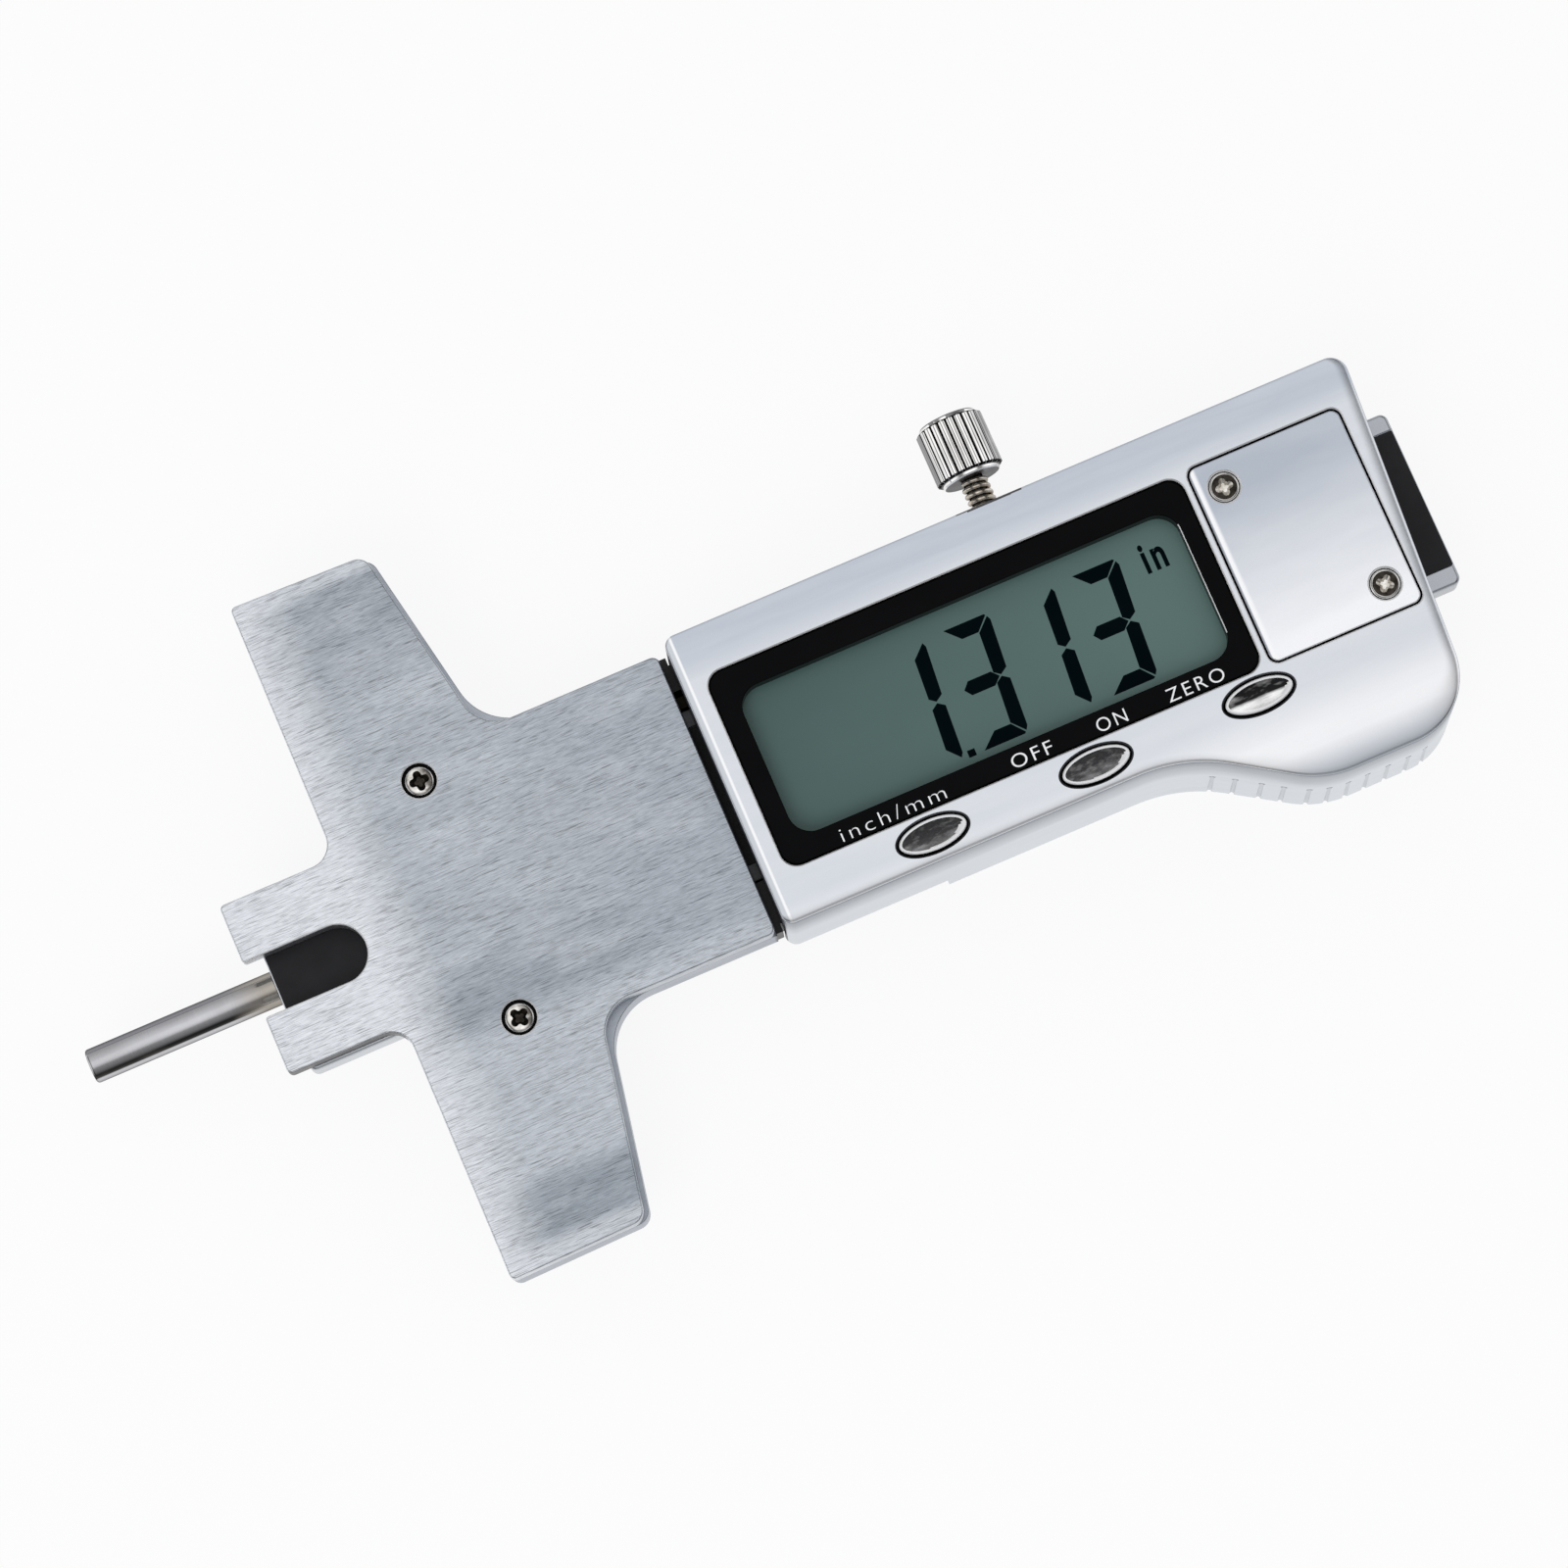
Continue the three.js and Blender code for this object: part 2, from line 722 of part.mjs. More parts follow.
// Widens a body away from the beam axis by the housing's flare, from the front face to the back
function flared(geometry) {
  const position = geometry.attributes.position;
  for (let i = 0; i < position.count; i += 1) {
    const share = (housingDepth - position.getZ(i)) / housingDepth;
    const y = position.getY(i);
    position.setY(i, y + Math.sign(y) * housingFlare * share);
  }
  return geometry;
}

function housingShell() {
  const below = -housingEdgeRadius - cutOverrun;
  const outer = toSolid(flared(plate(housingOutline(), below, housingDepth, housingEdgeRadius, 3)));
  const cavity = toSolid(plate(housingOutline(housingWall), below - cutOverrun, frontInside));
  const far = housingRight + cutOverrun;
  const wide = housingHalf + gripDrop + cutOverrun + housingFlare + cutOverrun;
  const underside = box([-cutOverrun, -wide, below - cutOverrun], [far, wide, 0]);
  const step = box([-cutOverrun, -wide, below], [housingLeft + shallowLength, wide, shallowHeight]);
  return cut(outer, [cavity, underside, step]);
}

function housingPosts() {
  const top = frontInside + cutOverrun / 2;
  const posts = rearScrewPlaces.map(([x, y]) => upright(postRadius, x, y, railTop + frameClearance, top));
  const bossBottom = frontInside - coverScrewLength + coverThickness;
  for (const [x, y] of coverScrewPlaces) posts.push(upright(coverBossRadius, x, y, bossBottom, top));
  for (const x of [windowLeft + 2 * pegInset, windowRight - pegInset]) {
    posts.push(upright(pegRadius, x, boardHalf - pegRadius, boardTop + boardSeatGap, top));
  }
  return posts;
}

function windowCutters() {
  const half = windowWidth / 2;
  const inner = half - windowLip;
  const recess = rectangle(windowLeft, windowRight, -half, half, windowCornerRadius);
  const opening = rectangle(windowLeft + windowLip, windowRight - windowLip, -inner, inner, 0);
  return [
    toSolid(plate(recess, ledgeTop, housingDepth + cutOverrun)),
    toSolid(plate(opening, frontInside - cutOverrun, ledgeTop + cutOverrun)),
  ];
}

function batteryCutters() {
  const half = coverWidth / 2 + coverGap;
  const recess = rectangle(coverLeft - coverGap, coverRight + coverGap, -half, half, coverCornerRadius);
  const cellHole = cellDiameter / 2 + cellHoleGap;
  const cutters = [
    toSolid(plate(recess, ledgeTop, housingDepth + cutOverrun)),
    upright(cellHole, cellX, 0, frontInside - cutOverrun, housingDepth, roundSegments),
  ];
  const bore = (coverScrewShankDiameter + coverScrewBoreGap) / 2;
  for (const [x, y] of coverScrewPlaces) {
    cutters.push(upright(bore, x, y, frontInside - coverScrewLength, housingDepth));
  }
  return cutters;
}

function ellipse(length, width) {
  const shape = new THREE.Shape();
  shape.absellipse(0, 0, length / 2, width / 2, 0, 2 * Math.PI, false);
  return shape;
}

function buttonCutters() {
  const cutters = [];
  const pocketHalf = buttonFlangeLength / 2 + buttonPocketGap;
  const pocketSide = buttonWidth / 2 + buttonGap;
  for (const x of buttonPlaces) {
    const shape = ellipse(buttonLength + 2 * buttonGap, buttonWidth + 2 * buttonGap);
    const hole = plate(shape, frontInside - cutOverrun, housingDepth + cutOverrun, 0, 1, roundSegments);
    hole.translate(x, buttonY, 0);
    cutters.push(toSolid(hole));
    cutters.push(box(
      [x - pocketHalf, buttonY - pocketSide, boardTop],
      [x + pocketHalf, buttonY + pocketSide, frontInside],
    ));
  }
  return cutters;
}

function housingSideCutters() {
  const inner = housingLeft + housingWall + cutOverrun;
  const clearTop = railTop + frameClearance;
  const frameWay = box([housingLeft - cutOverrun, -cavityHalf, -cutOverrun], [inner, cavityHalf, clearTop]);
  const beamWay = box(
    [frameRight, -beamHalf - frameClearance, beamBottom - frameClearance],
    [housingRight + cutOverrun, beamHalf + frameClearance, clearTop],
  );
  const outside = housingHalf + housingFlare + cutOverrun;
  const lockWay = alongY(lockThreadDiameter / 2 + lockHousingGap, lockX, lockZ, beamHalf, outside);
  const wallFace = housingHalf + housingFlare * (housingDepth - lockZ) / housingDepth;
  const relief = alongY(lockReliefDiameter / 2, lockX, lockZ, wallFace - lockReliefDepth, outside);
  return [frameWay, beamWay, lockWay, relief];
}

// Upright flutes in the thumb grip, cut where the outline of the grip passes
function fluteCutters() {
  const side = housingHalf + housingFlare;
  const rootX = housingRight - gripRootFromEnd;
  const flutes = [];
  for (let i = 0; i < fluteCount; i += 1) {
    const x = housingRight - fluteFirstFromEnd + i * flutePitch;
    const drop = Math.min(gripDrop, gripDrop * (x - rootX) / gripSlopeRun);
    flutes.push(upright(fluteRadius, x, -side - drop, -cutOverrun, fluteTop, arcSegments + 2));
  }
  return flutes;
}

function makeHousing() {
  const walls = housingShell();
  const reach = housingOutline(housingWall / 2);
  const within = toSolid(plate(reach, railTop, housingDepth - housingFrontWall / 2));
  const posts = joined(housingPosts()).intersect(within);
  const bore = (rearScrewShankDiameter + 2 * rearScrewBoreGap) / 2;
  const screwTop = rearScrewSink + rearScrewHeadHeight + rearScrewLength + rearScrewBoreGap;
  const bores = rearScrewPlaces.map(([x, y]) => upright(bore, x, y, -cutOverrun, screwTop));
  return toGeometry(cut(walls.add(posts), [
    ...windowCutters(),
    ...batteryCutters(),
    ...buttonCutters(),
    ...housingSideCutters(),
    ...fluteCutters(),
    ...bores,
  ]));
}

// Rear cover, flush with the housing's lower edge
function makeRearCover() {
  const inset = housingWall + rearCoverGap;
  const panel = toSolid(plate(housingOutline(inset), 0, rearCoverThickness));
  const padTop = rearCoverThickness + rearPadHeight;
  const pads = rearScrewPlaces.map(([x, y]) => upright(rearPadRadius, x, y, rearCoverThickness / 2, padTop));
  const within = toSolid(plate(housingOutline(inset), 0, padTop + cutOverrun));
  const bores = [];
  for (const [x, y] of rearScrewPlaces) {
    const sink = rearScrewSink + rearScrewHeadHeight + seatGap;
    const headRadius = rearScrewHeadDiameter / 2 + rearScrewHeadGap;
    bores.push(upright(headRadius, x, y, -cutOverrun, sink, roundSegments));
    bores.push(upright(rearScrewShankDiameter / 2 + rearScrewBoreGap, x, y, 0, padTop + cutOverrun));
  }
  return toGeometry(cut(panel.add(joined(pads).intersect(within)), bores));
}

function makeRearScrews() {
  rearScrewPlaces.forEach(([x, y], i) => {
    const screw = panScrew(
      rearScrewHeadDiameter,
      rearScrewHeadHeight,
      rearScrewShankDiameter,
      rearScrewLength,
    );
    screw.rotateX(Math.PI);
    piece(`rear_screw_${i + 1}`, screw, metal(0x9a9aa0, 0.35), [x, y, rearScrewSink]);
  });
}

// Window: a black frame on the ledge, with a rim behind it that reaches down to the display
function makeWindow() {
  const half = windowWidth / 2;
  const outer = half - windowGap;
  const shape = rectangle(windowLeft + windowGap, windowRight - windowGap, -outer, outer, windowCornerRadius);
  const bottom = ledgeTop + windowSeatGap;
  const top = bottom + windowThickness;
  const rimInset = windowLip + windowSeatGap;
  const rimHalf = half - rimInset;
  const rim = rectangle(windowLeft + rimInset, windowRight - rimInset, -rimHalf, rimHalf, 0);
  const opening = rectangle(
    windowLeft + openingLeftInset,
    windowRight - openingRightInset,
    openingBottomInset - half,
    half - openingTopInset,
    openingCornerRadius,
  );
  const frame = toSolid(plate(shape, bottom, top));
  const skirt = toSolid(plate(rim, displayTop + windowSeatGap, top));
  return toGeometry(cut(joined([frame, skirt]), [toSolid(plate(opening, displayTop, top + cutOverrun))]));
}

function makeDisplay() {
  const half = displayWidth / 2;
  const left = windowMiddle - displayLength / 2;
  const shape = rectangle(left, left + displayLength, -half, half, displayCornerRadius);
  return plate(shape, displayBottom, displayTop);
}

function makeConnector(side) {
  const outer = side * (displayWidth / 2 - connectorInset);
  const inner = outer - side * connectorWidth;
  const half = displayLength / 2 - connectorEndInset;
  const low = Math.min(inner, outer);
  const high = Math.max(inner, outer);
  const shape = rectangle(windowMiddle - half, windowMiddle + half, low, high, 0);
  return plate(shape, boardTop + connectorGap, displayBottom - connectorGap);
}

// Circuit board, notched round the two left-hand posts of the housing
function makeBoard() {
  const shoulder = boardLeft + boardNotch;
  const inner = boardHalf - boardNotch;
  const shape = outline([
    [shoulder, boardHalf, 0],
    [boardRight, boardHalf, 0],
    [boardRight, -boardHalf, 0],
    [shoulder, -boardHalf, 0],
    [shoulder, -inner, 0],
    [boardLeft, -inner, 0],
    [boardLeft, inner, 0],
    [shoulder, inner, 0],
  ]);
  return plate(shape, boardBottom, boardTop);
}

function makeChip() {
  const bottom = boardTop + seatGap;
  const middle = windowMiddle + chipOffset;
  const half = chipSize / 2;
  return toGeometry(box([middle - half, -half, bottom], [middle + half, half, bottom + chipHeight]));
}

function makeKeypad() {
  const half = keypadWidth / 2;
  const left = buttonPlaces[0] - keypadOverhang;
  const right = buttonPlaces[2] + keypadOverhang;
  const strip = box([left, buttonY - half, keypadBottom], [right, buttonY + half, keypadTop - pipHeight]);
  const pips = buttonPlaces.map((x) => upright(pipRadius, x, buttonY, keypadBottom, keypadTop));
  return toGeometry(joined([strip, ...pips]));
}

// Button: domed crown, flange under the front wall and a stem over the keypad
function makeButton() {
  const flangeTop = frontInside - buttonFlangeGap;
  const flangeBottom = flangeTop - buttonFlangeThickness;
  const crownTop = housingDepth + buttonProud;
  const shoulder = crownTop - buttonDome;
  const crown = plate(ellipse(buttonLength, buttonWidth), flangeBottom, shoulder, 0, 1, roundSegments);
  const dome = new THREE.ExtrudeGeometry(ellipse(buttonLength, buttonWidth), {
    depth: buttonDome,
    curveSegments: roundSegments,
    bevelEnabled: true,
    bevelThickness: buttonDome,
    bevelSize: buttonDomeInset,
    bevelOffset: -buttonDomeInset,
    bevelSegments: 3,
  });
  dome.translate(0, 0, shoulder - buttonDome);
  const flange = box(
    [-buttonFlangeLength / 2, -buttonWidth / 2, flangeBottom],
    [buttonFlangeLength / 2, buttonWidth / 2, flangeTop],
  );
  const stem = upright(buttonStemRadius, 0, 0, keypadTop + buttonTouchGap + buttonTravel, flangeTop);
  return toGeometry(joined([toSolid(crown), toSolid(dome), flange, stem]));
}

function makeButtons() {
  ['unit_button', 'power_button', 'zero_button'].forEach((name, i) => {
    piece(name, makeButton(), metal(0x8c9096, 0.2), [buttonPlaces[i], buttonY, 0]);
  });
}

// Battery bay
function makeBatteryCover() {
  const half = coverWidth / 2;
  const bottom = ledgeTop + windowSeatGap;
  const top = bottom + coverThickness;
  const body = toSolid(plate(rectangle(coverLeft, coverRight, -half, half, coverCornerRadius), bottom, top));
  const holes = [];
  for (const [x, y] of coverScrewPlaces) {
    const sinkRadius = (coverScrewHeadDiameter + coverScrewBoreGap) / 2;
    const sinkFloor = top - coverScrewHeadHeight - seatGap;
    holes.push(upright(sinkRadius, x, y, sinkFloor, top + cutOverrun, roundSegments));
    holes.push(upright((coverScrewShankDiameter + coverScrewBoreGap) / 2, x, y, bottom - cutOverrun, top));
  }
  return toGeometry(cut(body, holes));
}

function makeCoverScrews() {
  const top = ledgeTop + windowSeatGap + coverThickness;
  ['cover_screw_upper', 'cover_screw_lower'].forEach((name, i) => {
    const [x, y] = coverScrewPlaces[i];
    const length = coverScrewLength - coverThickness / 2;
    const screw = panScrew(coverScrewHeadDiameter, coverScrewHeadHeight, coverScrewShankDiameter, length);
    piece(name, screw, metal(0x9a9aa0, 0.35), [x, y, top]);
  });
}

function trayBottom() {
  return railTop + boardSeatGap;
}

function makeTray() {
  const inner = cellDiameter / 2 + cellSideGap;
  const bottom = trayBottom();
  const top = frontInside - trayTopGap;
  const cup = lathe([
    [0, bottom],
    [inner + trayWall, bottom],
    [inner + trayWall, top],
    [inner, top],
    [inner, bottom + trayFloor],
    [0, bottom + trayFloor],
  ]);
  cup.rotateX(Math.PI / 2);
  cup.translate(cellX, 0, 0);
  const notchHalf = trayNotchWidth / 2;
  const notchFloor = bottom + trayFloor;
  const notchOuter = cellX - inner - trayWall - cutOverrun;
  const notch = box([notchOuter, -notchHalf, notchFloor], [cellX - contactPad, notchHalf, top + cutOverrun]);
  return toGeometry(toSolid(cup).subtract(notch));
}

function makeCell() {
  const radius = cellDiameter / 2;
  const cell = lathe([
    [0, cellBottom],
    [cellCapRadius, cellBottom],
    [radius - cellStep / 2, cellBottom + cellStep],
    [radius, cellBottom + cellStep + cellStep / 2],
    [radius, cellTop],
    [0, cellTop],
  ]);
  cell.rotateX(Math.PI / 2);
  cell.translate(cellX, 0, 0);
  return cell;
}

function makeNegativeContact() {
  const shape = outline([
    [boardRight - contactReach, -contactSplit - contactWidth, 0],
    [cellX - contactPad, -contactSplit - contactWidth, 0],
    [cellX + contactPad, -contactPad, contactSplit],
    [cellX + contactPad, contactPad, contactSplit],
    [cellX - contactPad, contactPad, contactSplit],
    [cellX - contactPad, -contactSplit, 0],
    [boardRight - contactReach, -contactSplit, 0],
  ]);
  return plate(shape, contactBottom, contactBottom + contactThickness);
}

function makePositiveContact() {
  const leafX = cellX - cellDiameter / 2 - cellSideGap - contactThickness;
  const start = boardRight - contactReach;
  const farSide = contactSplit + contactWidth;
  const leafEnd = leafX + contactThickness;
  return toGeometry(joined([
    box([start, contactSplit, contactBottom], [leafEnd, farSide, contactBottom + contactThickness]),
    box([leafX, contactSplit, contactBottom], [leafEnd, farSide, contactBottom + contactFreeHeight]),
  ]));
}

// Lock screw: plain tip, ringed thread, knurled head between two collars
function lockProfile() {
  const radius = lockThreadDiameter / 2;
  const root = radius - lockThreadDepth;
  const tip = gibOuter + lockTipGap;
  const headBottom = housingHalf + housingFlare / 2 + lockNeckLength;
  const collar = lockCollarDiameter / 2;
  const profile = [[0, tip], [root, tip], [root, tip + lockTipLength]];
  const turns = Math.floor((headBottom - tip - lockTipLength) / lockThreadPitch);
  for (let i = 0; i < turns; i += 1) {
    const start = tip + lockTipLength + i * lockThreadPitch;
    profile.push([radius, start + lockThreadPitch / 2]);
    profile.push([root, start + lockThreadPitch]);
  }
  profile.push([root, headBottom]);
  profile.push([collar, headBottom]);
  profile.push([collar, headBottom + lockHeadHeight - lockCollarHeight / 2]);
  profile.push([collar - lockCollarHeight / 2, headBottom + lockHeadHeight]);
  profile.push([0, headBottom + lockHeadHeight]);
  return { profile, headBottom };
}

function knurl(bottom, top) {
  const shape = new THREE.Shape();
  const outer = lockHeadDiameter / 2;
  const inner = outer - lockToothDepth;
  for (let i = 0; i < lockToothCount; i += 1) {
    [outer, outer, inner, inner].forEach((radius, corner) => {
      const angle = 2 * Math.PI * (i + corner / 4) / lockToothCount;
      const x = radius * Math.cos(angle);
      const y = radius * Math.sin(angle);
      if (i || corner) shape.lineTo(x, y);
      else shape.moveTo(x, y);
    });
  }
  shape.closePath();
  const geometry = plate(shape, bottom, top);
  geometry.rotateX(-Math.PI / 2);
  return geometry;
}

function makeLockScrew() {
  const { profile, headBottom } = lockProfile();
  const teethBottom = headBottom + lockCollarHeight;
  const teethTop = headBottom + lockHeadHeight - lockCollarHeight;
  return toGeometry(toSolid(lathe(profile)).add(toSolid(knurl(teethBottom, teethTop))));
}

// Assembly
piece('base_plate', makeBasePlate(), metal(0xb9bec6, 0.42));
makeBaseScrews();
piece('frame', makeFrame(), metal(0xa6abb2, 0.4));
piece('gib_strip', makeGib(), metal(0xb08d57, 0.4));
piece('gib_spring', makeGibSpring(), metal(0x6d6f73, 0.35));
makeSetScrews();
piece('stop_screw', makeStopScrew(), metal(0x55555a, 0.45), [stopX, 0, 0]);
piece('beam', makeBeam(), metal(0xc4c7cb, 0.3));
piece('scale_strip', makeScaleStrip(), dielectric(0x1b1b1d, 0.55));
piece('depth_rod', makeDepthRod(), metal(0xc8c9cc, 0.18), [0, 0, beamMiddle]);
piece('housing', makeHousing(), metal(0xc9ced6, 0.35));
piece('rear_cover', makeRearCover(), metal(0xb4b8be, 0.4));
makeRearScrews();
piece('display_window', makeWindow(), dielectric(0x0b0b0d, 0.12));
piece('lcd_panel', makeDisplay(), dielectric(0x8f9a8c, 0.3));
piece('lcd_connector_upper', makeConnector(1), dielectric(0x3a3a3c, 0.8));
piece('lcd_connector_lower', makeConnector(-1), dielectric(0x3a3a3c, 0.8));
piece('circuit_board', makeBoard(), dielectric(0x1f5a36, 0.5));
piece('controller_chip', makeChip(), dielectric(0x141416, 0.6));
piece('keypad', makeKeypad(), dielectric(0x6f7276, 0.8));
makeButtons();
piece('battery_tray', makeTray(), dielectric(0x202022, 0.6));
piece('coin_cell', makeCell(), metal(0xc7c8ca, 0.3));
piece('battery_contact_negative', makeNegativeContact(), metal(0xc2b280, 0.3));
piece('battery_contact_positive', makePositiveContact(), metal(0xc2b280, 0.3));
piece('battery_cover', makeBatteryCover(), metal(0xc9ced6, 0.35));
makeCoverScrews();
piece('lock_screw', makeLockScrew(), metal(0xb5b2ad, 0.2), [lockX, 0, lockZ]);

const model = new THREE.Group();
model.add(gauge);

export default model;
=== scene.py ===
"""Looks of a small digital depth gauge with a T-shaped base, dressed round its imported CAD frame.

Sizes in the classes are millimetres in the gauge's own layout: X from the plane of the feet, Y from
the axis of the beam, Z from the flat back. The meshes are made in metres, in the CAD frame.
"""

import logging
import math
from collections.abc import Callable, Sequence
from dataclasses import dataclass, field
from enum import Enum

import bmesh
import bpy
from mathutils import Matrix, Vector

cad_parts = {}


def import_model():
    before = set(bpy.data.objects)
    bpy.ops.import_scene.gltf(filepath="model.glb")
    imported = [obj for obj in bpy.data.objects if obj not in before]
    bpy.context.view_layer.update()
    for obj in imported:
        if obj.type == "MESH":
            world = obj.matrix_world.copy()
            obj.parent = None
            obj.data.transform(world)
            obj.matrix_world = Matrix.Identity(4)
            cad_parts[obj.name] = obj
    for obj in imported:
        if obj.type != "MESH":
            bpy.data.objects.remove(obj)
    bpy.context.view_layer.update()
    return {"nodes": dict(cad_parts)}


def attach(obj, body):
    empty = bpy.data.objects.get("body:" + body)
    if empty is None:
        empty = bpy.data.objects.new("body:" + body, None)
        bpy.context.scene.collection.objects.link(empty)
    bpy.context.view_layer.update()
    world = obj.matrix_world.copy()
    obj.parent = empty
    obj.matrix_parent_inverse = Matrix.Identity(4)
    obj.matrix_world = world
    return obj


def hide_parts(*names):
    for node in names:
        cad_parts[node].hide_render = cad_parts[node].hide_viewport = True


LOG = logging.getLogger("gauge")

# A millimetre in metres, and where the plane of the feet lies along X in the CAD frame
MM = 0.001
FEET = -73.8

# Points closer than this, in metres, become one
WELD = 2e-7

# Places that several pieces share: the axis of the lock screw, and the axes of the other screws
LOCK_X = 72.7
LOCK_Z = 5.6
LOCK = (LOCK_X, 0.0, LOCK_Z)
BASE_SCREWS = ((19.5, 10.9), (19.5, -10.9))
REAR_SCREWS = ((46.15, 10.65), (46.15, -10.65), (99.7, 10.65), (99.7, -10.65))
COVER_SCREWS = ((91.1, 6.45), (100.05, -6.45))

# A pair of numbers, x, y and radius of a corner, a place, and red, green and blue
Flat = tuple[float, float]
Corner = tuple[float, float, float]
Point = tuple[float, float, float]
Colour = tuple[float, float, float]

# Radii with their heights, a block's lowest and highest corner, and left, right, bottom and top
# of a rectangle with one more number
Profile = tuple[Flat, ...]
Block = tuple[Point, Point]
Sides = tuple[float, float, float, float, float]

# A node's input or output, and a test of a face by its middle and its normal
Socket = bpy.types.NodeSocket
Test = Callable[[Vector, Vector], bool]


class Body(Enum):
    """The moving bodies of the gauge."""

    CASE = "gauge_body"
    BEAM = "beam"
    LOCK = "lock_screw"
    UNIT = "unit_button"
    POWER = "power_button"
    ZERO = "zero_button"


class Axis(Enum):
    """The direction that a turned piece is made along."""

    X = "x"
    Y = "y"
    Z = "z"


# ---------------------------------------------------------------------------------------------
# Outlines and meshes


@dataclass(frozen=True)
class Outline:
    """A closed outline, counter-clockwise, with the outward direction at each of its points."""

    points: tuple[Flat, ...]
    outward: tuple[Flat, ...]

    @classmethod
    def rounded(cls, corners: Sequence[Corner], steps: int = 14) -> "Outline":
        """Rounds each corner by an arc.

        Args:
            corners: x, y and radius of each corner, in order.
            steps: straight pieces in each arc.

        Returns:
            The outline.
        """
        area = sum(
            a[0] * b[1] - b[0] * a[1] for a, b in zip(corners, [*corners[1:], corners[0]])
        )
        ordered = list(corners) if area > 0 else list(reversed(corners))
        points: list[Flat] = []
        outward: list[Flat] = []
        for i, (x, y, radius) in enumerate(ordered):
            here = Vector((x, y))
            back = (Vector(ordered[i - 1][:2]) - here).normalized()
            ahead = (Vector(ordered[(i + 1) % len(ordered)][:2]) - here).normalized()
            half = math.acos(max(-1.0, min(1.0, back.dot(ahead)))) / 2
            middle = (back + ahead).normalized()
            side = -1.0 if (-back).cross(ahead) > 0 else 1.0
            if radius <= 0:
                points.append((x, y))
                outward.append(tuple(middle * side / math.sin(half)))
                continue
            centre = here + middle * radius / math.sin(half)
            start = here + back * radius / math.tan(half) - centre
            end = here + ahead * radius / math.tan(half) - centre
            first = math.atan2(start.y, start.x)
            sweep = (math.atan2(end.y, end.x) - first + math.pi) % (2 * math.pi) - math.pi
            for k in range(steps + 1):
                angle = first + sweep * k / steps
                ray = Vector((math.cos(angle), math.sin(angle)))
                points.append(tuple(centre + ray * radius))
                outward.append(tuple(ray * -side))
        return cls(tuple(points), tuple(outward))

    @classmethod
    def rectangle(
        cls, left: float, right: float, bottom: float, top: float, radius: float
    ) -> "Outline":
        """A rectangle with rounded corners."""
        places = [(left, bottom), (right, bottom), (right, top), (left, top)]
        return cls.rounded([(x, y, radius) for x, y in places])

    @classmethod
    def ellipse(cls, x: float, y: float, length: float, width: float, steps: int = 72) -> "Outline":
        """An ellipse about a point."""
        points, outward = [], []
        for k in range(steps):
            angle = 2 * math.pi * k / steps
            c, s = math.cos(angle), math.sin(angle)
            points.append((x + c * length / 2, y + s * width / 2))
            way = Vector((c * width, s * length)).normalized()
            outward.append(tuple(way))
        return cls(tuple(points), tuple(outward))

    def finer(self, step: float) -> "Outline":
        """The same outline with points no farther apart than a step."""
        points: list[Flat] = []
        outward: list[Flat] = []
        count = len(self.points)
        for i in range(count):
            j = (i + 1) % count
            here, there = Vector(self.points[i]), Vector(self.points[j])
            parts = max(1, math.ceil((there - here).length / step))
            for k in range(parts):
                points.append(tuple(here.lerp(there, k / parts)))
                way = Vector(self.outward[i]).lerp(Vector(self.outward[j]), k / parts)
                outward.append(tuple(way))
        return Outline(tuple(points), tuple(outward))

    def inset(self, by: float) -> list[Flat]:
        """The outline moved inwards by a distance."""
        return [(p[0] - by * n[0], p[1] - by * n[1]) for p, n in zip(self.points, self.outward)]


def object_of(name: str, mesh: bpy.types.Mesh) -> bpy.types.Object:
    """A linked object that holds the mesh."""
    made = bpy.data.objects.new(name, mesh)
    bpy.context.scene.collection.objects.link(made)
    return made


def loft(name: str, rings: Sequence[Sequence[Point]]) -> bpy.types.Object:
    """Closes a skin over rings of as many points each, with a cap on the first and last.

    Args:
        name: the object's name.
        rings: points in the gauge's layout, in millimetres.

    Returns:
        The closed mesh as an object.
    """
    bm = bmesh.new()
    rows = [[bm.verts.new(Vector((x + FEET, y, z)) * MM) for x, y, z in ring] for ring in rings]
    for low, high in zip(rows, rows[1:]):
        for i in range(len(low)):
            j = (i + 1) % len(low)
            bm.faces.new((low[i], low[j], high[j], high[i]))
    bm.faces.new(tuple(reversed(rows[0])))
    bm.faces.new(tuple(rows[-1]))
    bmesh.ops.remove_doubles(bm, verts=bm.verts, dist=WELD)
    bmesh.ops.recalc_face_normals(bm, faces=bm.faces)
    mesh = bpy.data.meshes.new(name)
    bm.to_mesh(mesh)
    bm.free()
    return object_of(name, mesh)


def levels_of(outline: Outline, levels: Sequence[Flat]) -> list[list[Point]]:
    """Rings of an outline, each moved inwards by a distance and laid at a height."""
    return [[(x, y, z) for x, y in outline.inset(by)] for by, z in levels]


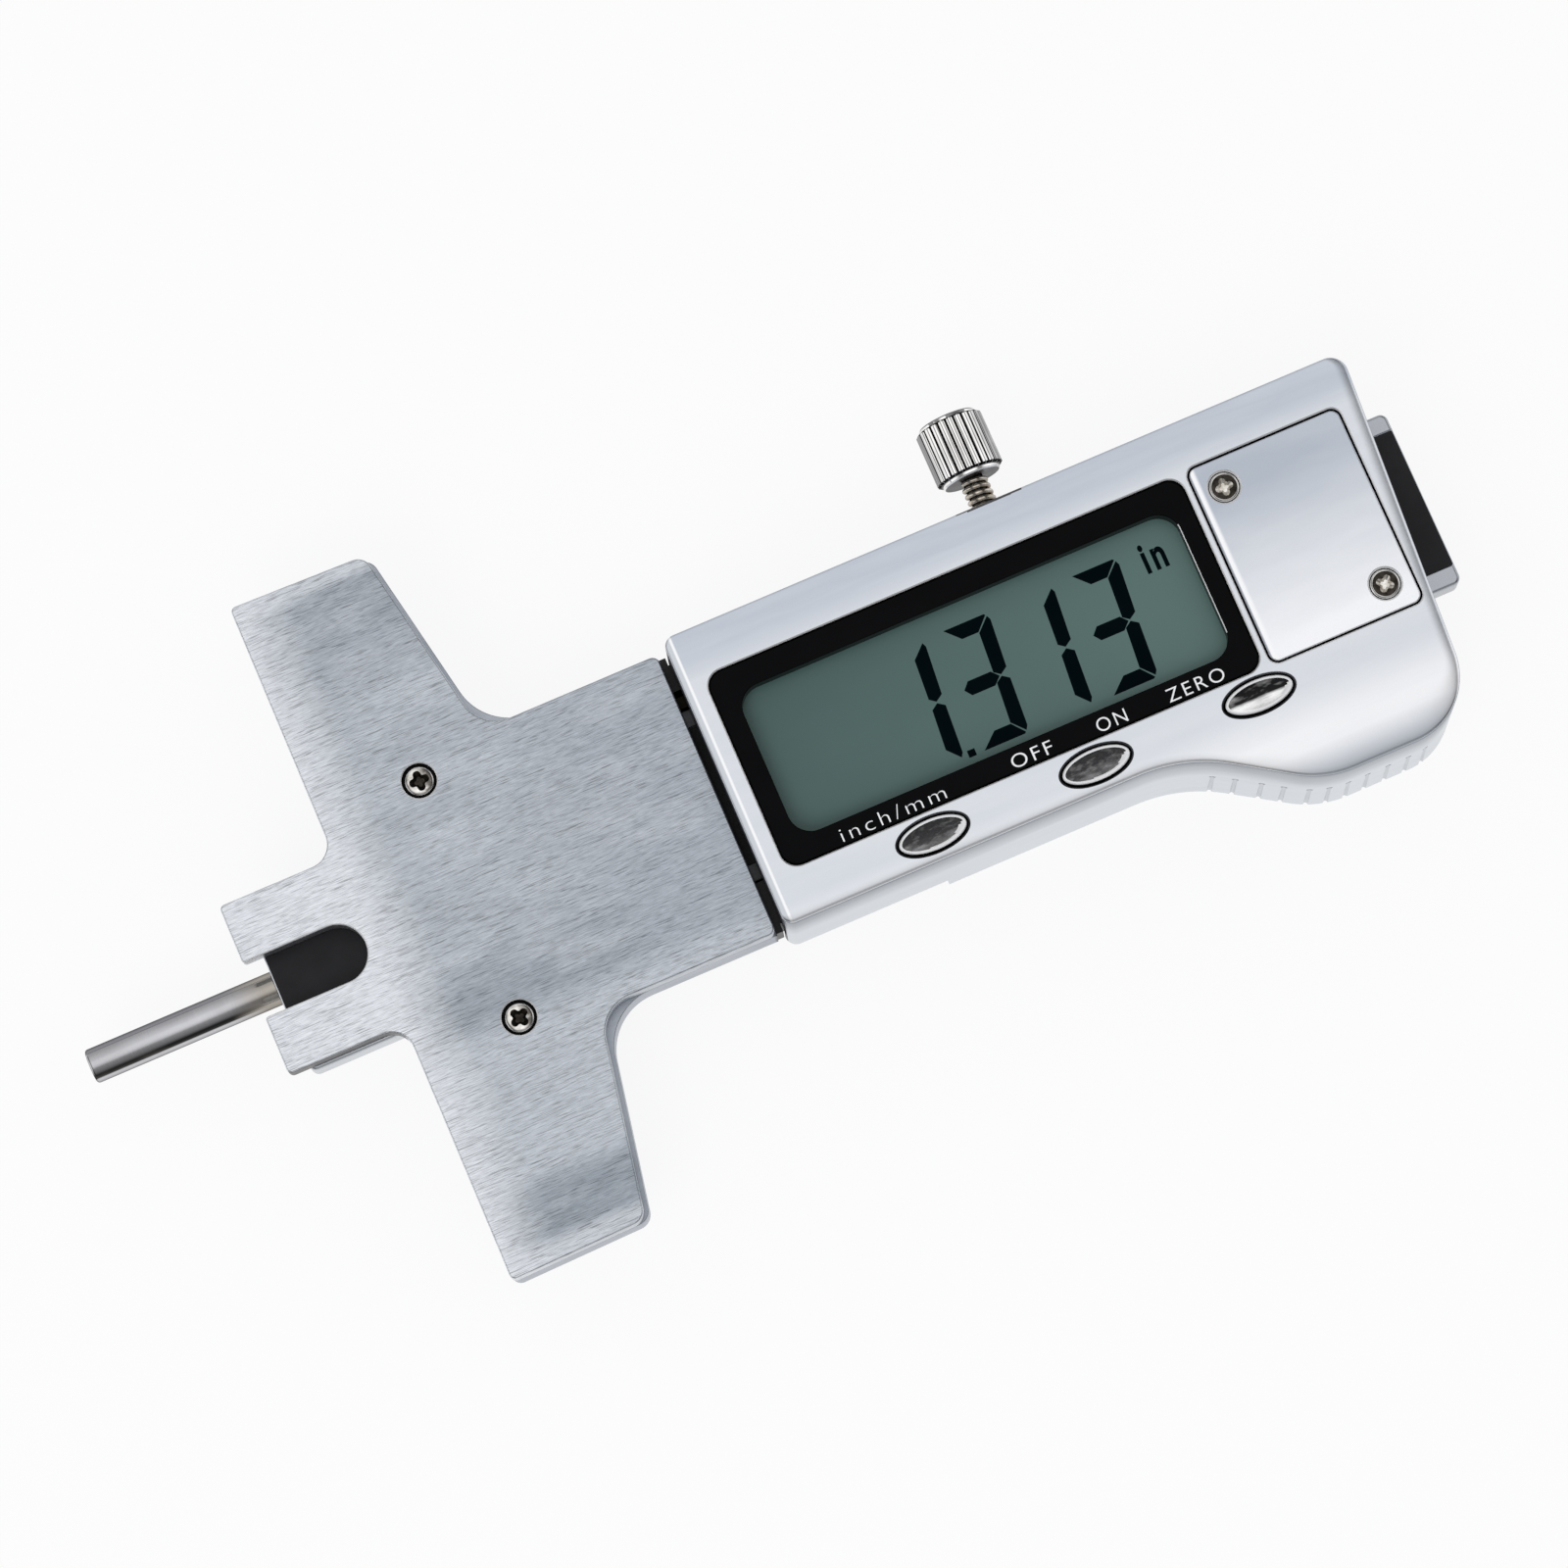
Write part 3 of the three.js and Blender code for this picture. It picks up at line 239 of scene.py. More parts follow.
def slab(
    name: str,
    outline: Outline,
    bottom: float,
    top: float,
    top_edge: float = 0.0,
    bottom_edge: float = 0.0,
    steps: int = 5,
    inset: float = 0.0,
) -> bpy.types.Object:
    """A plate of an outline between two heights, with rounded edges.

    Args:
        name: the object's name.
        outline: its outline.
        bottom: height of its lower face.
        top: height of its upper face.
        top_edge: radius round the upper face.
        bottom_edge: radius round the lower face.
        steps: straight pieces in each edge radius.
        inset: moves the whole outline inwards.

    Returns:
        The plate as an object.
    """
    levels: list[Flat] = []
    for edge, height, way in ((bottom_edge, bottom, 1), (top_edge, top, -1)):
        count = steps if edge > 0 else 0
        arc = []
        for k in range(count + 1):
            angle = math.pi / 2 * (k / count if count else 0)
            arc.append((edge * (1 - math.sin(angle)), height + way * edge * (1 - math.cos(angle))))
        levels += arc if way > 0 else arc[::-1]
    return loft(name, levels_of(outline, [(inset + by, z) for by, z in levels]))


def box(name: str, low: Point, high: Point) -> bpy.types.Object:
    """A plain block between two corners, for cutting."""
    outline = Outline.rectangle(low[0], high[0], low[1], high[1], 0)
    return slab(name, outline, low[2], high[2])


def shifted(ends: Block, x: float) -> Block:
    """A block's corners, moved along X."""
    (left, front, low), (right, rear, high) = ends
    return (x + left, front, low), (x + right, rear, high)


def turned(
    name: str,
    profile: Sequence[Flat],
    axis: Axis,
    place: Point,
    segments: int = 64,
) -> bpy.types.Object:
    """A turned piece.

    Args:
        name: the object's name.
        profile: radius and place along the axis of each point of its profile.
        axis: the direction of its axis.
        place: where its axis starts.
        segments: flats round it.

    Returns:
        The piece as an object.
    """
    rings = []
    for radius, along in profile:
        ring = []
        for k in range(segments):
            angle = 2 * math.pi * k / segments
            u, v = radius * math.cos(angle), radius * math.sin(angle)
            spread = {Axis.X: (along, u, v), Axis.Y: (v, along, u), Axis.Z: (u, v, along)}[axis]
            ring.append(tuple(a + b for a, b in zip(spread, place)))
        rings.append(ring)
    return loft(name, rings)


@dataclass(frozen=True)
class Bore:
    """A straight bore or post, by its radius and where it starts and ends along its axis."""

    radius: float
    start: float
    end: float
    segments: int = 32

    def at(self, place: Point, axis: Axis = Axis.Z) -> bpy.types.Object:
        """The bore as a cylinder, for cutting or joining."""
        profile = ((self.radius, self.start), (self.radius, self.end))
        return turned("bore", profile, axis, place, self.segments)

    def each(self, places: Sequence[Flat]) -> list[bpy.types.Object]:
        """The bore along Z at each of these places."""
        return [self.at((x, y, 0)) for x, y in places]


def quarter(steps: int) -> list[Flat]:
    """The shares of a radius that a quarter turn leaves along two axes, from (1, 0) to (0, 1)."""
    angles = [math.pi / 2 * k / steps for k in range(steps + 1)]
    return [(1 - math.sin(angle), 1 - math.cos(angle)) for angle in angles]


def nearest(middle: Vector, places: Sequence[Flat]) -> float:
    """How far a point is from the nearest of several axes along Z."""
    return min(math.hypot(middle.x - x, middle.y - y) for x, y in places)


def bake(piece: bpy.types.Object) -> bpy.types.Object:
    """Turns what the modifiers make into the piece's own plain mesh."""
    bpy.context.view_layer.update()
    seen = piece.evaluated_get(bpy.context.evaluated_depsgraph_get())
    mesh = bpy.data.meshes.new_from_object(seen)
    old = piece.data
    piece.modifiers.clear()
    piece.data = mesh
    bpy.data.meshes.remove(old)
    return piece


def drop(*pieces: bpy.types.Object) -> None:
    """Removes helpers that aren't pieces of the gauge."""
    for piece in pieces:
        bpy.data.objects.remove(piece)


class Work(Enum):
    """What a helper does to a body."""

    CUT = "DIFFERENCE"
    JOIN = "UNION"
    KEEP = "INTERSECT"


def carve(
    body: bpy.types.Object, helpers: Sequence[bpy.types.Object], work: Work = Work.CUT
) -> bpy.types.Object:
    """Cuts, joins or trims a body with helpers, which are then removed."""
    for helper in helpers:
        step = body.modifiers.new(work.name, "BOOLEAN")
        step.operation = work.value
        step.solver = "EXACT"
        step.object = helper
    bake(body)
    drop(*helpers)
    return body


def painted(piece: bpy.types.Object, finishes: "Sequence[tuple[Test, Finish]]") -> None:
    """Lays further finishes on the faces that pass their tests.

    Args:
        piece: the piece, which has its main finish.
        finishes: tests of a face's middle in the gauge's layout and its normal, and their finishes.
    """
    for _, finish in finishes:
        piece.data.materials.append(finish.material())
    first = len(piece.data.materials) - len(finishes)
    shift = Vector((FEET, 0, 0))
    for face in piece.data.polygons:
        middle = face.center / MM - shift
        for i, (test, _) in enumerate(finishes):
            if test(middle, face.normal):
                face.material_index = first + i
                break


def dressed(
    piece: bpy.types.Object,
    body: Body,
    finish: "Finish | None",
    nodes: Sequence[str] = (),
    sharp: float = 32.0,
    also: "Sequence[tuple[Test, Finish]]" = (),
) -> bpy.types.Object:
    """Shades a finished piece, gives it its finishes and lets it ride.

    Args:
        piece: the piece, in place.
        body: the body that it moves with.
        finish: its surface, or None where its tree has set one.
        nodes: the CAD nodes that it stands for.
        sharp: edges that turn by more degrees than this stay sharp.
        also: tests of faces and their own finishes.

    Returns:
        The piece.
    """
    if finish:
        piece.data.materials.clear()
        piece.data.materials.append(finish.material())
    painted(piece, also)
    piece.data.shade_smooth()
    piece.data.set_sharp_from_angle(angle=math.radians(sharp))
    even = piece.modifiers.new("Even", "WEIGHTED_NORMAL")
    even.keep_sharp = True
    bake(piece)
    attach(piece, body.value)
    if nodes:
        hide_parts(*nodes)
    LOG.info("%s rides on %s, %d faces", piece.name, body.value, len(piece.data.polygons))
    return piece


# ---------------------------------------------------------------------------------------------
# Node trees and finishes


class Tree:
    """A node tree that grows node by node."""

    def __init__(self, tree: bpy.types.NodeTree) -> None:
        """Takes the tree and empties it."""
        self.tree = tree
        tree.nodes.clear()

    def put(self, value: object, socket: Socket) -> None:
        """Sets an input to a value, or links it where the value is another node's output."""
        if isinstance(value, bpy.types.NodeSocket):
            self.tree.links.new(value, socket)
        else:
            socket.default_value = value

    def add(self, kind: str, *first: object, **named: object) -> bpy.types.Node:
        """Adds a node.

        Args:
            kind: its type.
            first: values or outputs for its first inputs, in order.
            named: the same for inputs by name, with _ for a space, and values of its properties.

        Returns:
            The node.
        """
        node = self.tree.nodes.new(kind)
        for name, value in named.items():
            title = name.replace("_", " ")
            if title in node.inputs:
                self.put(value, node.inputs[title])
            else:
                setattr(node, name, value)
        for value, socket in zip(first, node.inputs):
            self.put(value, socket)
        return node

    def result_of(self, operation: str, *values: Socket | float, clamp: bool = False) -> Socket:
        """The result of a calculation with these values."""
        node = self.add("ShaderNodeMath", *values, operation=operation, use_clamp=clamp)
        return node.outputs[0]


class Graph(Tree):
    """The nodes of one material."""

    def __init__(self, name: str) -> None:
        """Starts a material with its surface shader and output."""
        self.material = bpy.data.materials.new(name)
        self.material.use_nodes = True
        super().__init__(self.material.node_tree)
        self.surface = self.add("ShaderNodeBsdfPrincipled")
        self.add("ShaderNodeOutputMaterial", Surface=self.surface.outputs[0])
        self.place = self.add("ShaderNodeTexCoord").outputs["Object"]

    def noise(self, size: Point, detail: float) -> Socket:
        """Noise with blots of a size.

        Args:
            size: millimetres of a blot along X, Y and Z.
            detail: how many finer layers it has.

        Returns:
            Its value, from 0 to 1.
        """
        scale = [1 / (MM * s) for s in size]
        spread = self.add("ShaderNodeMapping", self.place, Scale=scale)
        node = self.add(
            "ShaderNodeTexNoise", spread.outputs[0], Scale=1.0, Detail=detail, Roughness=0.6
        )
        return node.outputs["Fac"]

    def spread(self, value: Socket, span: Flat, to: Flat) -> Socket:
        """Maps a value from one range to another, and holds it there."""
        return self.add("ShaderNodeMapRange", value, *span, *to, clamp=True).outputs[0]

    def along(self, tone: "Tone", drift: Socket) -> Socket:
        """How far along a tone each place is.

        Args:
            tone: the change of colour.
            drift: a value from -1 to 1 that moves it about.

        Returns:
            Its share, from 0 to 1.
        """
        split = self.add("ShaderNodeSeparateXYZ", self.place)
        shift = FEET if tone.axis is Axis.X else 0.0
        span = ((tone.start + shift) * MM, (tone.end + shift) * MM)
        share = self.spread(split.outputs[tone.axis.name], span, (0, 1))
        return self.result_of("MULTIPLY_ADD", drift, tone.drift, share, clamp=True)

    def mixed(self, share: Socket, first: Colour | Socket, second: Colour | Socket) -> Socket:
        """Mixes two colours by a share."""
        mix = self.add("ShaderNodeMix", data_type="RGBA", Factor=share)
        for slot, colour in ((6, first), (7, second)):
            self.put((*colour, 1) if isinstance(colour, tuple) else colour, mix.inputs[slot])
        return mix.outputs[2]


# Detail of the noises, and the spans of their values that are stretched to a whole range
BLOT_DETAIL = 3.0
SCRATCH_DETAIL = 1.0
BLOT_SPAN = (0.32, 0.68)
DRIFT_SPAN = (0.3, 0.7)
ROUGH_SPAN = (0.3, 0.7)
GRAIN_SPAN = (0.25, 0.75)
SCRATCH_SPAN = (0.56, 0.68)


def grey(tone: float) -> tuple[float, float, float, float]:
    """A grey as red, green, blue and alpha."""
    return tone, tone, tone, 1


@dataclass(frozen=True)
class Tone:
    """A change of colour along one axis, in millimetres of the gauge's layout; most tones here
    paint reflections, highlights or shade.
    """

    axis: Axis
    start: float
    end: float
    colour: Colour
    drift: float = 0.0


@dataclass(frozen=True)
class Finish:
    """A surface: its colour with blots, tones and grain, its gloss, and the bump of its grain."""

    name: str
    colour: Colour
    roughness: float
    metallic: float
    second: Colour
    blot: Point
    grain: Point
    grain_shade: float
    grain_rough: float
    grain_depth: float
    grain_detail: float
    tones: tuple[Tone, ...] = ()
    scratch: Point = (5.0, 0.16, 0.16)
    scratch_shade: float = 0.0
    coat: float = 0.0
    specular: float = 0.5
    edge_tint: float = 1.0

    def material(self) -> bpy.types.Material:
        """The material of this finish, made once."""
        known = bpy.data.materials.get(self.name)
        if known:
            return known
        graph = Graph(self.name)
        wanted = {
            "Metallic": self.metallic, "Coat Weight": self.coat,
            "Specular IOR Level": self.specular, "Specular Tint": grey(self.edge_tint),
        }
        wanted |= self.inputs(graph)
        for title, value in wanted.items():
            graph.put(value, graph.surface.inputs[title])
        return graph.material

    def inputs(self, graph: Graph) -> dict[str, Socket]:
        """Mixes colour, gloss and bump.

        Args:
            graph: the material's nodes.

        Returns:
            What feeds the inputs of the surface, by their names.
        """
        grain = graph.noise(self.grain, self.grain_detail)
        blots = graph.noise(self.blot, BLOT_DETAIL)
        base = graph.mixed(graph.spread(blots, BLOT_SPAN, (0, 1)), self.colour, self.second)
        drift = graph.spread(blots, DRIFT_SPAN, (-1, 1))
        for tone in self.tones:
            base = graph.mixed(graph.along(tone, drift), base, tone.colour)
        shades = (1 - self.grain_shade, 1 + self.grain_shade)
        shade = graph.spread(grain, GRAIN_SPAN, shades)
        if self.scratch_shade > 0:
            marks = graph.noise(self.scratch, SCRATCH_DETAIL)
            marks = graph.spread(marks, SCRATCH_SPAN, (1, 1 - self.scratch_shade))
            shade = graph.result_of("MULTIPLY", shade, marks)
        level = graph.add("ShaderNodeVectorMath", base, operation="SCALE", Scale=shade)
        rough = (self.roughness - self.grain_rough, self.roughness + self.grain_rough)
        depth = self.grain_depth * MM
        bump = graph.add("ShaderNodeBump", Strength=1.0, Distance=depth, Height=grain)
        return {
            "Base Color": level.outputs[0], "Roughness": graph.spread(grain, ROUGH_SPAN, rough),
            "Normal": bump.outputs[0],
        }


class Finishes:
    """Every finish of the gauge.

    A row gives name, colour, roughness, metal and second colour, then the sizes of blots and
    grain, and the grain's shade, roughness, depth and detail.
    """

    PLATE = Finish(
        "brushed_plate_steel", (0.515, 0.55, 0.60), 0.36, 1.0, (0.42, 0.455, 0.502),
        (11.0, 3.6, 3.6), (0.9, 0.05, 0.05), 0.36, 0.07, 0.002, 2.0,
        # The tones paint the plate's reflections: darker over the lower half, the stem and the
        # arms, lighter along the arms' ends and over the feet.
        tones=(
            Tone(Axis.Y, -3.0, -7.5, (0.345, 0.38, 0.425), 0.4),
            Tone(Axis.X, 25.0, 34.0, (0.41, 0.445, 0.495), 0.2),
            Tone(Axis.Y, -9.5, -12.0, (0.53, 0.565, 0.615), 0.15),
            Tone(Axis.Y, 20.5, 26.0, (0.33, 0.365, 0.41), 0.25),
            Tone(Axis.Y, 28.9, 29.9, (0.62, 0.65, 0.70), 0.2),
            Tone(Axis.Y, -23.0, -25.5, (0.31, 0.345, 0.39), 0.3),
            Tone(Axis.Y, -28.5, -29.5, (0.60, 0.63, 0.68), 0.2),
            Tone(Axis.X, 15.5, 10.4, (0.74, 0.765, 0.81), 0.1),
        ),
        scratch=(1.6, 0.055, 0.055), scratch_shade=0.5,
    )
    FRAME = Finish(
        "machined_frame_steel", (0.46, 0.49, 0.54), 0.4, 1.0, (0.36, 0.39, 0.44),
        (10.0, 6.0, 4.0), (1.6, 0.12, 0.12), 0.08, 0.06, 0.0015, 4.0,
        # The tone paints shade: near black from x 42 on, where the frame shows in the gap between
        # the plate and the housing.
        tones=(Tone(Axis.X, 41.7, 42.0, (0.028, 0.028, 0.028)),),
    )
    BEAM = Finish(
        "ground_beam_steel", (0.60, 0.625, 0.66), 0.3, 1.0, (0.52, 0.545, 0.58),
        (12.0, 5.0, 3.0), (2.4, 0.08, 0.08), 0.07, 0.06, 0.001, 4.0,
        # The first two tones paint a band of shade from x 42 to 43.4, in the gap between the plate
        # and the housing; the last makes the beam darker past x 104.4, at its right-hand end.
        tones=(
            Tone(Axis.X, 41.6, 42.0, (0.045, 0.046, 0.048)),
            Tone(Axis.X, 43.2, 43.6, (0.56, 0.585, 0.62)),
            Tone(Axis.X, 103.6, 104.4, (0.41, 0.43, 0.465), 0.1),
        ),
    )
    ROD = Finish(
        "ground_rod_steel", (0.57, 0.57, 0.595), 0.15, 1.0, (0.50, 0.50, 0.525),
        (6.0, 3.0, 3.0), (0.06, 1.5, 1.5), 0.05, 0.04, 0.0006, 3.0,
        # The Y tones paint reflections: a black band with a bright line below it on the -Y side,
        # and a grey line on the +Y side. The X tone makes the rod browner and darker from x -2.6
        # on, towards the plate.
        tones=(
            Tone(Axis.Y, -0.6, -1.0, (0.03, 0.03, 0.03)),
            Tone(Axis.Y, -1.24, -1.32, (0.6, 0.6, 0.62)),
            Tone(Axis.Y, 0.86, 0.94, (0.26, 0.26, 0.28)),
            Tone(Axis.X, -2.6, 0.6, (0.38, 0.35, 0.31), 0.1),
        ),
        edge_tint=0.3,
    )
    HOUSING = Finish(
        "satin_chrome_casting", (0.72, 0.747, 0.79), 0.33, 1.0, (0.675, 0.705, 0.757),
        (26.0, 2.6, 8.0), (0.12, 0.12, 0.12), 0.03, 0.04, 0.0008, 4.0,
        # The tones paint reflections: darker and bluer towards the top edge, near white over the
        # grip and darker again at its foot, and at the left-hand edge a painted highlight line with
        # a grey band outside it.
        tones=(
            Tone(Axis.Y, 8.9, 11.0, (0.53, 0.572, 0.642), 0.3),
            Tone(Axis.Y, -11.5, -15.5, (0.90, 0.905, 0.93), 0.15),
            Tone(Axis.Y, -16.8, -19.5, (0.52, 0.56, 0.62)),
            Tone(Axis.X, 43.56, 43.44, (0.95, 0.955, 0.97)),
            Tone(Axis.X, 43.34, 43.22, (0.61, 0.64, 0.685)),
        ),
    )
    WALL = Finish(
        "satin_chrome_wall", (0.68, 0.71, 0.75), 0.36, 1.0, (0.71, 0.735, 0.775),
        (14.0, 5.0, 2.0), (0.12, 0.12, 0.12), 0.03, 0.04, 0.0008, 4.0,
        # The tone paints a reflection: the walls darken towards the face.
        tones=(Tone(Axis.Z, 7.0, 12.5, (0.27, 0.295, 0.33), 0.1),),
    )
    # Painted shade in the flutes of the grip, darker still at their dimples.
    FLUTE = Finish(
        "painted_shade_flute", (0.60, 0.625, 0.66), 0.36, 1.0, (0.56, 0.585, 0.62),
        (2.0, 2.0, 2.0), (0.1, 0.1, 0.1), 0.05, 0.04, 0.0008, 4.0,
        tones=(Tone(Axis.Z, 5.8, 6.2, (0.38, 0.40, 0.43)),),
    )
    # A painted highlight on the chamfers, rims and edges that catch the light.
    HIGHLIGHT = Finish(
        "painted_highlight_rim", (0.97, 0.975, 0.99), 0.55, 1.0, (0.95, 0.955, 0.97),
        (5.0, 5.0, 5.0), (0.1, 0.1, 0.1), 0.02, 0.04, 0.0004, 3.0,
    )
    # Painted shade on the end of the casting that faces the base, across the gap.
    END = Finish(
        "painted_shade_casting_end", (0.15, 0.155, 0.165), 0.45, 1.0, (0.11, 0.115, 0.12),
        (4.0, 3.0, 3.0), (0.1, 0.1, 0.1), 0.08, 0.06, 0.002, 4.0,
    )
    # Painted shade, near black, inside recesses, holes and counterbores and on the buttons' skirts.
    SHADE = Finish(
        "painted_shade_black", (0.012, 0.012, 0.013), 0.6, 0.0, (0.018, 0.018, 0.019),
        (1.5, 1.5, 1.5), (0.08, 0.08, 0.08), 0.15, 0.08, 0.002, 3.0, specular=0.15,
    )
    COVER = Finish(
        "satin_chrome_cover", (0.92, 0.925, 0.955), 0.33, 1.0, (0.89, 0.90, 0.935),
        (20.0, 5.0, 8.0), (0.12, 0.12, 0.12), 0.03, 0.04, 0.0008, 4.0,
        # The tones paint reflections: darker and bluer towards the top, and along the left-hand
        # edge a painted highlight band with a thin dark line outside it.
        tones=(
            Tone(Axis.Y, -8.5, 6.5, (0.465, 0.51, 0.58), 0.1),
            Tone(Axis.X, 89.4, 89.15, (0.95, 0.955, 0.975)),
            Tone(Axis.X, 88.93, 88.86, (0.5, 0.53, 0.58)),
        ),
    )
    REAR = Finish(
        "satin_rear_plate", (0.56, 0.585, 0.62), 0.42, 1.0, (0.49, 0.51, 0.55),
        (18.0, 9.0, 9.0), (0.1, 1.8, 0.1), 0.06, 0.06, 0.001, 4.0,
    )
    # Chrome painted dark as a reflection, lighter towards its lower edge.
    BUTTON = Finish(
        "chrome_button_painted_dark_reflection", (0.05, 0.05, 0.052), 0.14, 1.0, (0.014, 0.014, 0.015),
        (1.1, 0.45, 0.8), (0.3, 0.06, 0.06), 0.3, 0.05, 0.0004, 4.0,
        tones=(Tone(Axis.Y, -10.9, -12.1, (0.24, 0.24, 0.245), 0.5),),
    )
    # Chrome painted with a bright reflection over its lower part and a near-black one over its
    # upper part.
    BUTTON_LIT = Finish(
        "chrome_button_painted_bright_reflection", (0.90, 0.90, 0.905), 0.09, 1.0, (0.82, 0.82, 0.825),
        (2.4, 0.9, 1.0), (0.3, 0.08, 0.08), 0.04, 0.03, 0.0001, 2.0,
        tones=(Tone(Axis.Y, -11.3, -11.05, (0.014, 0.014, 0.015), 0.3),),
    )
    KNOB = Finish(
        "chrome_knob", (0.97, 0.965, 0.96), 0.07, 1.0, (0.86, 0.85, 0.84),
        (2.0, 3.0, 2.0), (0.12, 0.8, 0.12), 0.05, 0.03, 0.0006, 4.0,
        # The tones paint reflections: the knob darkens at its left and right sides.
        tones=(
            Tone(Axis.X, 70.2, 69.9, (0.3, 0.3, 0.305)),
            Tone(Axis.X, 74.4, 75.3, (0.36, 0.36, 0.365), 0.2),
        ),
    )
    # Painted shade on the underside of the knob's head and on parts of its upper collar.
    COLLAR = Finish(
        "painted_shade_collar", (0.30, 0.30, 0.305), 0.3, 1.0, (0.2, 0.2, 0.205),
        (1.5, 1.5, 1.5), (0.1, 0.1, 0.1), 0.06, 0.05, 0.0006, 4.0, edge_tint=0.5,
    )
    VALLEY = Finish(
        "shaded_knurl_valley", (0.02, 0.02, 0.02), 0.3, 1.0, (0.035, 0.035, 0.035),
        (1.0, 1.5, 1.0), (0.1, 0.4, 0.1), 0.1, 0.06, 0.0006, 4.0, edge_tint=0.2,
    )
    THREAD = Finish(
        "oiled_thread_steel", (0.74, 0.68, 0.60), 0.12, 1.0, (0.34, 0.29, 0.23),
        (0.7, 0.4, 0.7), (0.1, 0.1, 0.1), 0.1, 0.05, 0.0006, 4.0, edge_tint=0.6,
    )
    SCREW = Finish(
        "bright_screw_steel", (0.86, 0.85, 0.84), 0.17, 1.0, (0.66, 0.64, 0.62),
        (0.8, 0.8, 0.8), (0.08, 0.08, 0.08), 0.08, 0.06, 0.0008, 4.0,
    )
    WORN_AND_SHADED = Finish(
        "worn_screw_face_and_painted_shade", (0.92, 0.90, 0.87), 0.16, 1.0, (0.42, 0.39, 0.35),
        (0.75, 0.55, 0.55), (0.06, 0.06, 0.06), 0.2, 0.06, 0.0012, 4.0,
        # The tone paints shade over the right-hand side of each head.
        tones=(Tone(Axis.X, 19.55, 20.35, (0.12, 0.11, 0.10), 0.35),),
    )
    # A painted highlight in the recesses of the cover's screws.
    LOBES = Finish(
        "painted_highlight_screw_recess", (0.95, 0.93, 0.89), 0.3, 1.0, (0.5, 0.46, 0.40),
        (0.5, 0.4, 0.4), (0.06, 0.06, 0.06), 0.15, 0.06, 0.001, 4.0,
    )
    # Painted shade in the recesses of the base and rear screws, and a painted dark reflection on
    # the faces of the cover's screws.
    RECESS = Finish(
        "painted_shade_screw_recess", (0.05, 0.042, 0.034), 0.3, 0.8, (0.012, 0.01, 0.008),
        (0.4, 0.4, 0.4), (0.08, 0.08, 0.08), 0.15, 0.08, 0.002, 4.0, specular=0.3,
    )
    # Blackened steel for the rear screws, the stop and gib screws and the gib spring; also painted
    # shade on the lower foot's side and a painted reflection on the housing's edge beside the lock
    # screw.
    DARK = Finish(
        "blackened_steel_and_painted_shade", (0.12, 0.12, 0.125), 0.38, 1.0, (0.07, 0.07, 0.075),
        (1.2, 1.2, 1.2), (0.08, 0.08, 0.08), 0.1, 0.08, 0.001, 4.0,
    )
    # Brass painted near black as shade, where the gib shows in the gap between the plate and the
    # housing.
    BRASS = Finish(
        "painted_shade_gib_brass", (0.013, 0.011, 0.008), 0.4, 1.0, (0.009, 0.0075, 0.006),
        (5.0, 2.0, 2.0), (1.2, 0.08, 0.08), 0.08, 0.06, 0.001, 4.0,
    )
    STRIP = Finish(
        "matt_black_strip", (0.010, 0.010, 0.0115), 0.5, 0.0, (0.015, 0.015, 0.017),
        (3.0, 3.0, 3.0), (0.07, 0.07, 0.07), 0.3, 0.1, 0.003, 5.0, specular=0.2,
    )
    BEZEL = Finish(
        "gloss_black_bezel", (0.0018, 0.0019, 0.0023), 0.16, 0.0, (0.0026, 0.0027, 0.0032),
        (6.0, 4.0, 4.0), (0.15, 0.15, 0.15), 0.1, 0.03, 0.0002, 3.0, specular=0.03,
    )
    LCD = Finish(
        "grey_green_display", (0.066, 0.117, 0.109), 0.3, 0.0, (0.07, 0.122, 0.114),
        (24.0, 12.0, 8.0), (0.06, 0.06, 0.06), 0.03, 0.03, 0.0002, 3.0,
        tones=(Tone(Axis.X, 50.0, 86.0, (0.097, 0.163, 0.15), 0.1),), specular=0.2,
    )
    DIGIT = Finish(
        "display_segment", (0.0012, 0.0034, 0.0047), 0.4, 0.0, (0.0017, 0.0041, 0.0054),
        (4.0, 4.0, 4.0), (0.08, 0.08, 0.08), 0.1, 0.03, 0.0002, 3.0, specular=0.0,
    )
    INK = Finish(
        "white_label_ink", (0.86, 0.87, 0.88), 0.5, 0.0, (0.8, 0.81, 0.83),
        (1.5, 1.5, 1.5), (0.05, 0.05, 0.05), 0.04, 0.05, 0.0005, 3.0,
    )
    RUBBER = Finish(
        "dark_rubber", (0.035, 0.035, 0.037), 0.7, 0.0, (0.05, 0.05, 0.052),
        (2.0, 1.0, 1.0), (0.08, 0.08, 0.08), 0.2, 0.08, 0.003, 4.0,
    )
    BOARD = Finish(
        "board_green", (0.012, 0.1, 0.04), 0.38, 0.0, (0.02, 0.14, 0.06),
        (3.0, 0.7, 1.0), (0.25, 0.06, 0.06), 0.15, 0.06, 0.002, 4.0, coat=0.4,
    )
    PLASTIC = Finish(
        "black_plastic", (0.02, 0.02, 0.021), 0.5, 0.0, (0.028, 0.028, 0.03),
        (2.0, 2.0, 2.0), (0.06, 0.06, 0.06), 0.2, 0.06, 0.002, 4.0,
    )
    NICKEL = Finish(
        "contact_nickel", (0.6, 0.55, 0.44), 0.25, 1.0, (0.5, 0.46, 0.37),
        (1.5, 1.5, 1.5), (0.5, 0.06, 0.06), 0.07, 0.05, 0.0008, 4.0,
    )
    CELL = Finish(
        "cell_steel", (0.66, 0.67, 0.68), 0.26, 1.0, (0.58, 0.59, 0.6),
        (4.0, 4.0, 4.0), (0.4, 0.06, 0.06), 0.05, 0.05, 0.0008, 4.0,
    )


